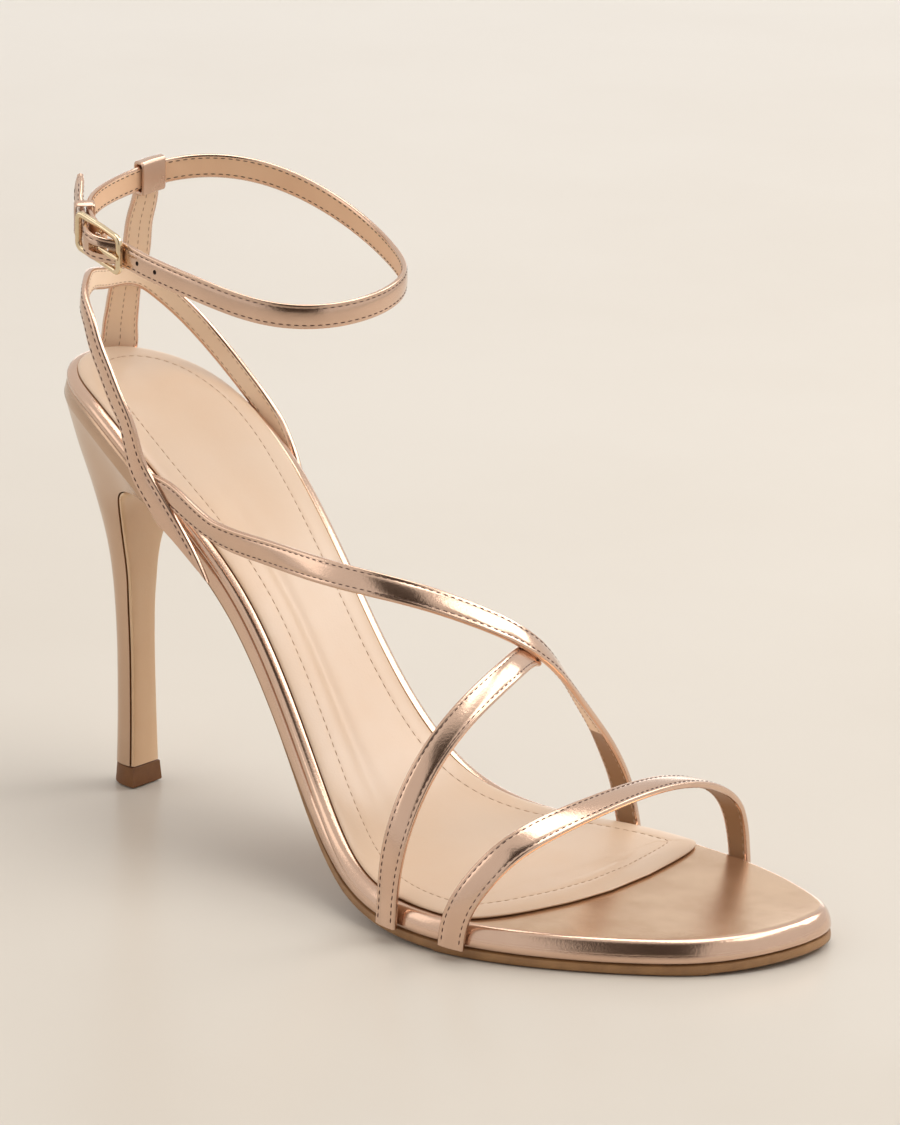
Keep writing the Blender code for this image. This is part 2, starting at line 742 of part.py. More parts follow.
def build_upper(parts, cutters):
    """Straps joined where they cross, with the tunnel for the ankle strap."""
    strap("toe_strap", parts)
    room = (-TUNNEL_INNER, TUNNEL_INNER)
    upper = band("upper", TUNNEL_AT, TUNNEL_LENGTH, room, TUNNEL_HALF, TUNNEL_WALL, parts)
    for name in UPPER_STRAPS:
        combine(upper, [strap(name, cutters)], "UNION")


def ankle_path():
    """Ankle strap from the fold at the bar, round the ankle and out to the tail."""
    spots = []
    for turn in FOLD_TURNS:
        along = -FOLD_RADIUS * math.cos(math.radians(turn))
        off = BAR_OFFSET + FOLD_RADIUS * math.sin(math.radians(turn))
        spots.append(ring_spot(along, off)[0])
    first, last = PLAIN_START, GIRTH + TAIL[0][0]
    plain = np.linspace(first, last, int((last - first) / ANKLE_STEP))
    spots += list(ring_spot(plain))
    past = column(TAIL, TAIL_COLUMNS, "past_bar")
    shape = spline(past, np.column_stack([column(TAIL, TAIL_COLUMNS, k) for k in TAIL_COLUMNS[1:]]))
    tail = np.linspace(past[0], past[-1], int((past[-1] - past[0]) / TAIL_STEP))[1:]
    offset, rise = shape(tail).T
    spots += list(ring_spot(GIRTH + tail, offset, rise))
    return np.array(spots)


def build_ankle(parts, cutters):
    """Ankle strap with its fold, holes and tail, the keeper and the buckle."""
    path = ankle_path()
    tangent = tangents_of(path)
    up = np.array([0.0, 0.0, 1.0])
    outward = unit(np.cross(up, tangent))
    widths = np.full(len(path), ANKLE_WIDTH)
    widths[-len(TAIL_TAPER):] *= TAIL_TAPER
    thick = np.where(np.arange(len(path)) < len(FOLD_TURNS), FOLD_THICK, ANKLE_THICK)
    ankle = ribbon("ankle_strap", path, outward, widths, thick, ANKLE_ROUND, parts)
    tools = []
    for number, place in enumerate(HOLE_PLACES):
        spot = ring_spot(GIRTH + place)[0]
        facing = ring_outward([place])[0]
        tools.append(round_bar("hole_%d" % number, spot, facing, HOLE_RADIUS, HOLE_DEPTH, cutters))
    for number, slot in enumerate(SLOTS):
        size = dict(zip(SLOT_COLUMNS, slot))
        tools.append(slot_tool("prong_slot_%d" % number, cutters, **size))
    combine(ankle, tools, "DIFFERENCE")
    room = (-ANKLE_THICK / 2 - GAP, TAIL_OFFSET + ANKLE_THICK / 2 + GAP + KEEPER_ROOM)
    half = ANKLE_WIDTH / 2 + GAP + KEEPER_SIDE
    band("keeper", KEEPER_PLACE, KEEPER_LENGTH, room, half, KEEPER_WALL, parts)
    build_buckle(parts, cutters)


def round_bar(name, spot, facing, radius, length, collection):
    """Round bar centred on a spot, along a direction."""
    mesh = bpy.data.meshes.new(name)
    box = bmesh.new()
    turn = Vector(facing).to_track_quat("Z", "Y").to_matrix().to_4x4()
    place = Matrix.Translation([v * MM for v in spot]) @ turn
    size = radius * MM
    bmesh.ops.create_cone(box, cap_ends=True, segments=ROUND_SIDES, radius1=size, radius2=size,
                          depth=length * MM, matrix=place)
    box.to_mesh(mesh)
    box.free()
    made = bpy.data.objects.new(name, mesh)
    collection.objects.link(made)
    return made


def slot_tool(name, collection, first, last, low, high, width):
    """Cutter for the prong between two places and two offsets."""
    half = width / 2
    loops = []
    for place in (first, last):
        corners = ((low, -half), (high, -half), (high, half), (low, half))
        loops.append(np.array([ring_spot(place, o, r)[0] for o, r in corners]))
    return mesh_object(name, *loft(loops), collection)


def wire_loop(name, corners, radius, collection):
    """Closed round wire with rounded corners."""
    corners = np.asarray(corners, float)
    centre = corners.mean(axis=0)
    path = []
    for k, corner in enumerate(corners):
        before = unit(corners[k - 1] - corner)
        after = unit(corners[(k + 1) % len(corners)] - corner)
        for share in np.linspace(0, 1, CORNER_STEPS):
            a = corner + before * FRAME_CORNER * (1 - share)
            b = corner + after * FRAME_CORNER * share
            path.append(a * (1 - share) + b * share)
    path = np.array(path)
    tangent = unit(np.roll(path, -1, axis=0) - np.roll(path, 1, axis=0))
    face = unit(np.cross(corners[1] - corners[0], corners[2] - corners[1]))
    loops = []
    for place, run in zip(path, tangent):
        side = unit(np.cross(run, face))
        turns = np.linspace(0, 2 * math.pi, WIRE_SIDES, endpoint=False)
        spokes = [side * math.cos(t) + face * math.sin(t) for t in turns]
        loops.append(place + radius * np.array(spokes))
    count = len(loops[0])
    faces = []
    for level in range(len(loops)):
        after = (level + 1) % len(loops)
        for i in range(count):
            j = (i + 1) % count
            faces.append((level * count + i, level * count + j, after * count + j, after * count + i))
    return mesh_object(name, np.vstack(loops) - centre, faces, collection), centre


def build_buckle(parts, cutters):
    """Wire frame with the bar across it, and the prong hooked on the bar."""
    ends = ((FRAME_BACK, BACK_OFFSET, -1), (FRAME_BACK, BACK_OFFSET, 1), (0.0, BAR_OFFSET, 1),
            (FRAME_FRONT, FRONT_OFFSET, 1), (FRAME_FRONT, FRONT_OFFSET, -1), (0.0, BAR_OFFSET, -1))
    corners = [ring_spot(place, offset, side * FRAME_HALF)[0] for place, offset, side in ends]
    frame, centre = wire_loop("buckle_frame", corners, WIRE, parts)
    frame.location = (centre * MM).tolist()
    middle = (corners[2] + corners[5]) / 2
    bar = round_bar("buckle_bar", middle, (0.0, 0.0, 1.0), BAR, 2 * FRAME_HALF, cutters)
    combine(frame, [bar], "UNION")
    rest = FRONT_OFFSET + WIRE + GAP + PRONG_THICK / 2
    spots = []
    for turn in HOOK_TURNS:
        along = HOOK_RADIUS * math.cos(math.radians(turn))
        off = BAR_OFFSET + HOOK_RADIUS * math.sin(math.radians(turn))
        spots.append(ring_spot(along, off)[0])
    for place in np.linspace(PRONG_START, FRAME_FRONT - PRONG_OVERHANG, PRONG_STEPS):
        spots.append(ring_spot(place, rest)[0])
    path = np.array(spots)
    tangent = tangents_of(path)
    outward = unit(np.cross(tangent, np.array([0.0, 0.0, 1.0])))
    widths = np.full(len(path), PRONG_WIDTH)
    ribbon("buckle_prong", path, outward, widths, PRONG_THICK, PRONG_ROUND, parts)


MATERIALS = {
    "insole_board": ((0.55, 0.36, 0.28), 0.3, 0.9),
    "sole_wall": ((0.55, 0.36, 0.28), 0.3, 0.9),
    "outsole": ((0.3, 0.15, 0.07), 0.6, 0.0),
    "insole": ((0.83, 0.62, 0.46), 0.6, 0.0),
    "heel": ((0.55, 0.36, 0.28), 0.3, 0.9),
    "heel_breast": ((0.6, 0.42, 0.28), 0.45, 0.0),
    "heel_tip": ((0.14, 0.07, 0.03), 0.6, 0.0),
    "upper": ((0.55, 0.36, 0.28), 0.3, 0.9),
    "toe_strap": ((0.55, 0.36, 0.28), 0.3, 0.9),
    "ankle_strap": ((0.55, 0.36, 0.28), 0.3, 0.9),
    "keeper": ((0.75, 0.55, 0.45), 0.4, 0.3),
    "buckle_frame": ((0.78, 0.6, 0.36), 0.2, 1.0),
    "buckle_prong": ((0.78, 0.6, 0.36), 0.2, 1.0),
}


def finish(parts, cutters):
    """Materials, one parent for the parts, and the cutters put away."""
    parent = bpy.data.objects.new("strappy_stiletto_sandal_frame", None)
    parent.location = [-v * MM for v in ORIGIN]
    parts.objects.link(parent)
    for node, (colour, rough, metal) in MATERIALS.items():
        look = bpy.data.materials.new(node)
        look.use_nodes = True
        shader = look.node_tree.nodes["Principled BSDF"]
        shader.inputs["Base Color"].default_value = (*colour, 1.0)
        shader.inputs["Roughness"].default_value = rough
        shader.inputs["Metallic"].default_value = metal
        item = parts.objects[node]
        item.data.materials.clear()
        item.data.materials.append(look)
        item.parent = parent
    for tool in cutters.objects:
        tool.hide_render = True
        tool.display_type = "WIRE"


def main():
    """Build the sandal."""
    for old in list(bpy.data.objects):
        bpy.data.objects.remove(old, do_unlink=True)
    parts = bpy.data.collections.new("strappy_stiletto_sandal")
    cutters = bpy.data.collections.new("cutters")
    bpy.context.scene.collection.children.link(parts)
    bpy.context.scene.collection.children.link(cutters)
    build_sole(parts)
    build_heel(parts)
    build_upper(parts, cutters)
    build_ankle(parts, cutters)
    finish(parts, cutters)


main()
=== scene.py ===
"""Looks of a strappy stiletto sandal: rose gold foil leather, nude lining and stitched straps.

Tables are in mm from the back of the heel, as the maker measures; meshes are in the row frame, in metres.
"""

import logging
import math
from dataclasses import dataclass
from enum import Enum
from functools import cached_property
from typing import Callable, NamedTuple, Sequence

import bmesh
import bpy
import numpy as np
from mathutils import Matrix, Vector


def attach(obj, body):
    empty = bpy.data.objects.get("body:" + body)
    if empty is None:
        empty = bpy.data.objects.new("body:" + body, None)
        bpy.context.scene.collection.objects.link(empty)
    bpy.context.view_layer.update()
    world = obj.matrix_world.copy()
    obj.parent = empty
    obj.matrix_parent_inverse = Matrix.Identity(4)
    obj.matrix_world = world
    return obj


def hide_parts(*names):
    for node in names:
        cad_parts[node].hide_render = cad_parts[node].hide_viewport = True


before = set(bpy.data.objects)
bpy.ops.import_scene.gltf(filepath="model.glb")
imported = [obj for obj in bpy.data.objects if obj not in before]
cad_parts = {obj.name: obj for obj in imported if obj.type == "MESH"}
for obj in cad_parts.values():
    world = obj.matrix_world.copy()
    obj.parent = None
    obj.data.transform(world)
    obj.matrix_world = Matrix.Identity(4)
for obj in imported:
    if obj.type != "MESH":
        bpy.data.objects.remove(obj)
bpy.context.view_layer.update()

LOG = logging.getLogger("sandal")
MM = 0.001
ORIGIN = np.array((105.8, -5.2, 0.0))
UP = np.array((0.0, 0.0, 1.0))
BODY = "root"
SMOOTH_ANGLE = math.radians(38)
FINE_POINTS = 1200

Colour = tuple[float, float, float]
Curve = Callable[[np.ndarray], np.ndarray]


class Side(Enum):
    """Side of the foot; the value is its sign across."""

    LATERAL = -1
    MEDIAL = 1


class Slot(Enum):
    """Material slots of the record."""

    FOIL = "metallic_leather"
    INSOLE = "insole_leather"
    BREAST = "breast_leather"
    OUTSOLE = "outsole_leather"
    TIP = "tip_rubber"
    BUCKLE = "buckle_metal"
    KEEPER = "keeper_leather"


def spline(knots: Sequence[float], values: Sequence) -> Curve:
    """Natural cubic spline.

    Args:
        knots: Rising places of the values.
        values: One number or one row of numbers at each knot.

    Returns:
        Function from places to rows of values.
    """
    x = np.asarray(knots, float)
    y = np.asarray(values, float).reshape(len(x), -1)
    h = np.diff(x)
    a = np.eye(len(x))
    b = np.zeros_like(y)
    for i in range(1, len(x) - 1):
        a[i, i - 1:i + 2] = h[i - 1], 2 * (h[i - 1] + h[i]), h[i]
        b[i] = 6 * ((y[i + 1] - y[i]) / h[i] - (y[i] - y[i - 1]) / h[i - 1])
    m = np.linalg.solve(a, b)

    def value(t: np.ndarray) -> np.ndarray:
        """Value of the spline.

        Args:
            t: Places along the knots.

        Returns:
            One row of values for each place.
        """
        t = np.atleast_1d(np.asarray(t, float))
        k = np.clip(np.searchsorted(x, t) - 1, 0, len(x) - 2)
        d = (t - x[k])[:, None]
        e = (x[k + 1] - t)[:, None]
        w = h[k][:, None]
        cubic = (m[k] * e ** 3 + m[k + 1] * d ** 3) / (6 * w)
        return cubic + (y[k] / w - m[k] * w / 6) * e + (y[k + 1] / w - m[k + 1] * w / 6) * d
    return value


def unit(vectors: np.ndarray) -> np.ndarray:
    """Vectors scaled to length one, row by row."""
    v = np.asarray(vectors, float)
    return v / np.linalg.norm(v, axis=-1, keepdims=True)


def run_of(path: np.ndarray) -> np.ndarray:
    """Distance run along a path at each of its points."""
    return np.r_[0, np.cumsum(np.linalg.norm(np.diff(path, axis=0), axis=1))]


def even_path(rows: np.ndarray, step: float) -> tuple[np.ndarray, np.ndarray]:
    """Smooth path through rows in even steps.

    Args:
        rows: Points to pass through, in mm.
        step: Distance between points of the path, in mm.

    Returns:
        The path, and the share of the rows passed at each of its points.
    """
    rows = np.asarray(rows, float)
    knots = run_of(rows)
    places = np.linspace(0, knots[-1], FINE_POINTS)
    fine = spline(knots, rows)(places)
    run = run_of(fine)
    at = np.linspace(0, run[-1], max(3, int(round(run[-1] / step)) + 1))
    path = np.column_stack([np.interp(at, run, fine[:, k]) for k in range(3)])
    passed = np.interp(at, run, places)
    return path, np.interp(passed, knots, np.linspace(0, 1, len(rows)))


def tangents_of(path: np.ndarray) -> np.ndarray:
    """Run directions along an open path."""
    return unit(np.gradient(path, axis=0))


def square_to(directions: np.ndarray, tangents: np.ndarray) -> np.ndarray:
    """Directions with their part along the run taken out."""
    return unit(directions - tangents * (directions * tangents).sum(axis=1, keepdims=True))


class Draft:
    """Points and faces of one mesh, each face with the number of its finish."""

    def __init__(self) -> None:
        """Start with nothing."""
        self.points: list[np.ndarray] = []
        self.faces: list[tuple[int, ...]] = []
        self.finishes: list[int] = []
        self.count = 0

    def grid(self, points: np.ndarray) -> np.ndarray:
        """Add rows of points in mm.

        Args:
            points: Array of rows, columns and three coordinates.

        Returns:
            Point numbers in the same rows and columns.
        """
        points = np.asarray(points, float)
        index = np.arange(points.shape[0] * points.shape[1]).reshape(points.shape[:2]) + self.count
        self.points.append(points.reshape(-1, 3))
        self.count += index.size
        return index

    def face(self, corners: Sequence[int], finish: int = 0) -> None:
        """Add one face."""
        self.faces.append(tuple(int(c) for c in corners))
        self.finishes.append(int(finish))

    def skin(self, index: np.ndarray, finish: int | np.ndarray = 0, wrap: bool = False) -> None:
        """Cover rows of points with four-sided faces.

        Args:
            index: Point numbers by row and column.
            finish: Finish of all faces, or one for each column of faces.
            wrap: Join the last column to the first.
        """
        columns = index.shape[1] if wrap else index.shape[1] - 1
        finishes = np.broadcast_to(np.asarray(finish), columns)
        for low, high in zip(index[:-1], index[1:]):
            for c in range(columns):
                d = (c + 1) % index.shape[1]
                self.face((low[c], low[d], high[d], high[c]), finishes[c])

    def ladder(self, loop: np.ndarray, finish: int = 0) -> None:
        """Close a ring by faces across, from its first half to its second.

        Args:
            loop: Point numbers of the ring.
            finish: Finish of the faces.
        """
        last = len(loop) - 1
        for i in range(len(loop) // 2 - 1):
            self.face((loop[i], loop[i + 1], loop[last - i - 1], loop[last - i]), finish)

    def body(self, loops: Sequence, finish: int | np.ndarray = 0, laddered: bool = False) -> None:
        """Add a closed body through loops of points.

        Args:
            loops: Loops of points in mm, from one end to the other.
            finish: Finish of all sides, or one for each column of faces.
            laddered: Close each end by faces across it, not by one face.
        """
        index = self.grid(np.array(loops))
        self.skin(index, finish, wrap=True)
        close = self.ladder if laddered else self.face
        close(index[0])
        close(index[-1])

    def field(self, loop: np.ndarray, ring: np.ndarray, columns: int, finish: int = 0,
              sag: Callable[[np.ndarray, np.ndarray], np.ndarray] | None = None) -> None:
        """Close a ring by a fine field across it.

        Args:
            loop: Point numbers of the ring, first half one way and second half back.
            ring: Its points in mm.
            columns: Points across the field.
            finish: Finish of the field.
            sag: Drop in mm from each station's middle points and their shares across.
        """
        half = len(loop) // 2
        near, far = ring[:half], ring[half:][::-1]
        share = np.linspace(0, 1, columns + 2)[1:-1]
        inner = near[1:-1, None] * (1 - share)[None, :, None] + far[1:-1, None] * share[None, :, None]
        if sag is not None:
            inner[:, :, 2] -= sag(inner, share)
        index = np.full((half - 2, columns + 2), 0)
        index[:, 0] = loop[1:half - 1]
        index[:, -1] = loop[half:][::-1][1:-1]
        index[:, 1:-1] = self.grid(inner)
        self.skin(index, finish)
        self.face((loop[0], *index[0], loop[-1]), finish)
        self.face((loop[half - 1], loop[half], *index[-1][::-1]), finish)

    def make(self, name: str, finishes: Sequence[bpy.types.Material]) -> bpy.types.Object:
        """Turn the draft into an object in the row frame.

        Args:
            name: Name of the piece.
            finishes: Materials in the order of the face numbers.

        Returns:
            The new object, shaded smooth, its faces outward.
        """
        mesh = bpy.data.meshes.new(name)
        points = (np.vstack(self.points) - ORIGIN) * MM
        mesh.from_pydata(points.tolist(), [], self.faces)
        mesh.polygons.foreach_set("material_index", self.finishes)
        box = bmesh.new()
        box.from_mesh(mesh)
        bmesh.ops.recalc_face_normals(box, faces=box.faces)
        box.to_mesh(mesh)
        box.free()
        for finish in finishes:
            mesh.materials.append(finish)
        mesh.shade_smooth()
        mesh.set_sharp_from_angle(angle=SMOOTH_ANGLE)
        made = bpy.data.objects.new(name, mesh)
        bpy.context.scene.collection.objects.link(made)
        return made


def settle(item: bpy.types.Object, slot: Slot, *nodes: str) -> bpy.types.Object:
    """Join a finished piece to the frame.

    Args:
        item: The piece.
        slot: Material slot that it takes its finish from; not used.
        nodes: CAD nodes that it stands for.

    Returns:
        The same piece.
    """
    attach(item, BODY)
    if nodes:
        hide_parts(*nodes)
    LOG.info("%s: %d faces", item.name, len(item.data.polygons))
    return item


def bake_modifiers(item: bpy.types.Object) -> None:
    """Replace a piece's mesh by its evaluated one and drop the modifiers.

    Args:
        item: The piece.
    """
    bpy.context.view_layer.update()
    ready = item.evaluated_get(bpy.context.evaluated_depsgraph_get())
    mesh = bpy.data.meshes.new_from_object(ready)
    item.modifiers.clear()
    item.data = mesh
    mesh.name = item.name


def cut_away(item: bpy.types.Object, tools: Sequence[bpy.types.Object]) -> None:
    """Cut tools out of a piece and remove them.

    Args:
        item: The piece.
        tools: Closed bodies to cut with.
    """
    for tool in tools:
        change = item.modifiers.new("cut", "BOOLEAN")
        change.operation = "DIFFERENCE"
        change.solver = "EXACT"
        change.object = tool
        change.material_mode = "TRANSFER"
    bake_modifiers(item)
    for tool in tools:
        bpy.data.objects.remove(tool)
    item.data.shade_smooth()
    item.data.set_sharp_from_angle(angle=SMOOTH_ANGLE)


class Wire:
    """A shader value that takes part in Python expressions."""

    def __init__(self, tree: "ShaderTree", socket: bpy.types.NodeSocket) -> None:
        """Wrap one output socket of a tree."""
        self.tree = tree
        self.socket = socket

    def _math(self, operation: str, other: "Wire | float") -> "Wire":
        """Result of a Math node."""
        return self.tree.node("ShaderNodeMath", {"operation": operation}, {0: self, 1: other})

    def __add__(self, other: "Wire | float") -> "Wire":
        """Sum."""
        return self._math("ADD", other)

    def __mul__(self, other: "Wire | float") -> "Wire":
        """Product."""
        return self._math("MULTIPLY", other)

    def __sub__(self, other: "Wire | float") -> "Wire":
        """Difference."""
        return self._math("SUBTRACT", other)

    def fade(self, low: float, high: float, start: float = 0.0, end: float = 1.0) -> "Wire":
        """Smooth step as the value rises.

        Args:
            low: Value where the step begins.
            high: Value where it ends.
            start: Result below the step.
            end: Result above it.

        Returns:
            The stepped value.
        """
        settings = {"interpolation_type": "SMOOTHSTEP"}
        sockets = {"Value": self, "From Min": low, "From Max": high, "To Min": start, "To Max": end}
        return self.tree.node("ShaderNodeMapRange", settings, sockets)


class ShaderTree:
    """Node tree of a material or world, built node by node."""

    def __init__(self, owner: bpy.types.ID) -> None:
        """Take over a material's or world's tree."""
        owner.use_nodes = True
        self.tree = owner.node_tree

    def node(self, kind: str, settings: dict | None = None, sockets: dict | None = None,
             output: int | str = 0) -> Wire:
        """Add a node.

        Args:
            kind: Type name of the node.
            settings: Properties set before the sockets.
            sockets: Values or wires by socket name or number.
            output: Output that is returned.

        Returns:
            The chosen output.
        """
        made = self.tree.nodes.new(kind)
        for name, value in (settings or {}).items():
            setattr(made, name, value)
        self.feed(made, sockets or {})
        return Wire(self, made.outputs[output])

    def feed(self, made: bpy.types.Node, sockets: dict) -> None:
        """Set or link the inputs of a node.

        Args:
            made: The node.
            sockets: Values or wires by socket name or number.
        """
        for name, value in sockets.items():
            if isinstance(value, Wire):
                self.tree.links.new(value.socket, made.inputs[name])
            else:
                made.inputs[name].default_value = value

    def place(self) -> Wire:
        """Object coordinates."""
        return self.node("ShaderNodeTexCoord", output="Object")

    def noise(self, size: float, detail: float, rough: float = 0.5) -> Wire:
        """Noise whose features are about a size, in metres."""
        sockets = {"Vector": self.place(), "Scale": 1 / size, "Detail": detail, "Roughness": rough}
        return self.node("ShaderNodeTexNoise", None, sockets)

    def blend(self, share: Wire, first: Colour | Wire, second: Colour | Wire) -> Wire:
        """Mix two colours.

        Args:
            share: Share of the second colour.
            first: First colour.
            second: Second colour.

        Returns:
            The mixed colour.
        """
        ends = [c if isinstance(c, Wire) else (*c, 1.0) for c in (first, second)]
        sockets = {0: share, 6: ends[0], 7: ends[1]}
        return self.node("ShaderNodeMix", {"data_type": "RGBA"}, sockets, output=2)

    def bump(self, height: Wire, depth: float) -> Wire:
        """Normal of a relief of some depth, in metres."""
        return self.node("ShaderNodeBump", None, {"Height": height, "Distance": depth, "Strength": 1.0})


@dataclass(frozen=True)
class Finish:
    """A surface: its colour, gloss and grain."""

    name: str
    colour: Colour
    deep: Colour
    rough: float = 0.5
    metal: float = 0.0
    coat: float = 0.0
    coat_rough: float = 0.1
    mottle: float = 0.03
    grain: float = 0.0006
    relief: float = 0.00003
    wander: float = 0.06
    # Colour taken below a height above the floor (object z, in metres), with a short fade above that height.
    foot: Colour | None = None
    foot_level: float = 0.03
    foot_fade: float = 0.0006
    patch_share: float = 0.8
    rub_share: float = 0.3
    rubs_per_patch: float = 3.0
    worn_range: tuple[float, float] = (0.3, 0.85)
    patch_detail: float = 3.0
    rub_detail: float = 4.0
    fine_rough: float = 0.6

    def material(self) -> bpy.types.Material:
        """Make the surface.

        Returns:
            Material with mottled colour, wandering gloss and fine grain.
        """
        look = bpy.data.materials.new(self.name)
        tree = ShaderTree(look)
        shader = look.node_tree.nodes["Principled BSDF"]
        patches = tree.noise(self.mottle, self.patch_detail)
        grain = tree.noise(self.grain, self.patch_detail, self.fine_rough)
        rub = tree.noise(self.mottle / self.rubs_per_patch, self.rub_detail, self.fine_rough)
        worn = (patches * self.patch_share + rub * self.rub_share).fade(*self.worn_range)
        colour = tree.blend(worn, self.colour, self.deep)
        if self.foot:
            height = tree.node("ShaderNodeSeparateXYZ", None, {0: tree.place()}, output="Z")
            above = height.fade(self.foot_level - self.foot_fade, self.foot_level)
            colour = tree.blend(above, self.foot, colour)
        gloss = (rub - 0.5) * (2 * self.wander) + self.rough
        tree.feed(shader, {
            "Base Color": colour,
            "Roughness": gloss,
            "Metallic": self.metal,
            "Coat Weight": self.coat,
            "Coat Roughness": self.coat_rough,
            "Normal": tree.bump(grain, self.relief),
        })
        return look


class Finishes:
    """The sandal's surfaces, each made once."""

    def __init__(self) -> None:
        """Make every material."""
        leather = {"mottle": 0.02, "grain": 0.0005, "relief": 0.00004}
        yarn = {"rough": 0.6, "coat_rough": 0.3, "mottle": 0.002, "grain": 0.0002, "relief": 0.00005}
        self.foil = Finish(
            "rose_gold_foil", (0.75, 0.53, 0.405), (0.66, 0.45, 0.335),
            rough=0.19, metal=0.95, coat=0.3, coat_rough=0.08).material()
        self.sock = Finish(
            "satin_toe_sock", (0.80, 0.56, 0.37), (0.60, 0.37, 0.215),
            rough=0.22, metal=0.9, coat=0.1, coat_rough=0.3, mottle=0.018).material()
        self.heel = Finish(
            "heel_wrap_foil", (0.60, 0.415, 0.29), (0.53, 0.355, 0.24),
            rough=0.24, metal=0.88, coat=0.3, coat_rough=0.2).material()
        # Nude lining that turns dark brown below 31.8 mm above the floor.
        self.lining = Finish(
            "nude_lining", (0.96, 0.75, 0.56), (0.91, 0.68, 0.49),
            rough=0.5, coat=0.08, coat_rough=0.35, foot=(0.36, 0.2, 0.1), foot_level=0.0318,
            **leather).material()
        self.ankle_lining = Finish(
            "tan_lining", (0.86, 0.57, 0.37), (0.79, 0.49, 0.30),
            rough=0.45, coat=0.1, coat_rough=0.3, **leather).material()
        self.insole = Finish(
            "nude_insole", (0.69, 0.525, 0.395), (0.67, 0.465, 0.31),
            rough=0.38, coat=0.35, coat_rough=0.28, mottle=0.05, relief=0.00004).material()
        self.breast = Finish(
            "satin_breast", (0.86, 0.60, 0.37), (0.80, 0.52, 0.30),
            rough=0.32, coat=0.5, coat_rough=0.2).material()
        self.edge = Finish(
            "stained_sole_edge", (0.40, 0.215, 0.09), (0.27, 0.135, 0.055),
            rough=0.5, coat=0.15, coat_rough=0.3, mottle=0.006, grain=0.0004, relief=0.00008).material()
        self.under = Finish(
            "leather_sole_face", (0.42, 0.23, 0.12), (0.34, 0.18, 0.09),
            rough=0.6, coat_rough=0.3, grain=0.0007, relief=0.00008).material()
        self.tip = Finish(
            "top_piece_rubber", (0.21, 0.082, 0.02), (0.16, 0.06, 0.015),
            rough=0.55, coat=0.05, coat_rough=0.3, mottle=0.004, grain=0.0003, relief=0.00005).material()
        self.gold = Finish(
            "pale_gold_plate", (0.84, 0.69, 0.48), (0.76, 0.61, 0.40),
            rough=0.16, metal=1.0, mottle=0.004, grain=0.0004, relief=0.00001, wander=0.04).material()
        self.keeper = Finish(
            "pale_pink_foil", (0.66, 0.46, 0.35), (0.58, 0.39, 0.29),
            rough=0.28, metal=0.85, coat=0.2, coat_rough=0.2).material()
        # Hole walls: near black, painted shade that stands for the dark inside of the holes.
        self.cut = Finish(
            "hole_wall_painted_shade", (0.05, 0.025, 0.015), (0.03, 0.015, 0.01), rough=0.8, coat_rough=0.3).material()
        self.thread = Finish(
            "brown_thread", (0.125, 0.062, 0.042), (0.085, 0.042, 0.03), **yarn).material()
        self.pale_thread = Finish(
            "tan_thread", (0.57, 0.39, 0.27), (0.50, 0.33, 0.22), **yarn).material()


class SoleRow(NamedTuple):
    """One section of the last's bottom, in mm."""

    along: float
    centre: float
    half_width: float
    top: float


class Ring(NamedTuple):
    """Ring round the sole's top: lateral side toeward, then medial side back."""

    points: np.ndarray
    outward: np.ndarray
    up: np.ndarray

    def level(self, out: float | np.ndarray, depth: float | np.ndarray) -> np.ndarray:
        """Ring moved outward and down.

        Args:
            out: Distance outward, one for all or one for each point.
            depth: Distance down, square to the sole's top.

        Returns:
            Points of the moved ring.
        """
        out = np.broadcast_to(np.asarray(out, float), len(self.points))[:, None]
        depth = np.broadcast_to(np.asarray(depth, float), len(self.points))[:, None]
        return self.points + self.outward * out - self.up * depth


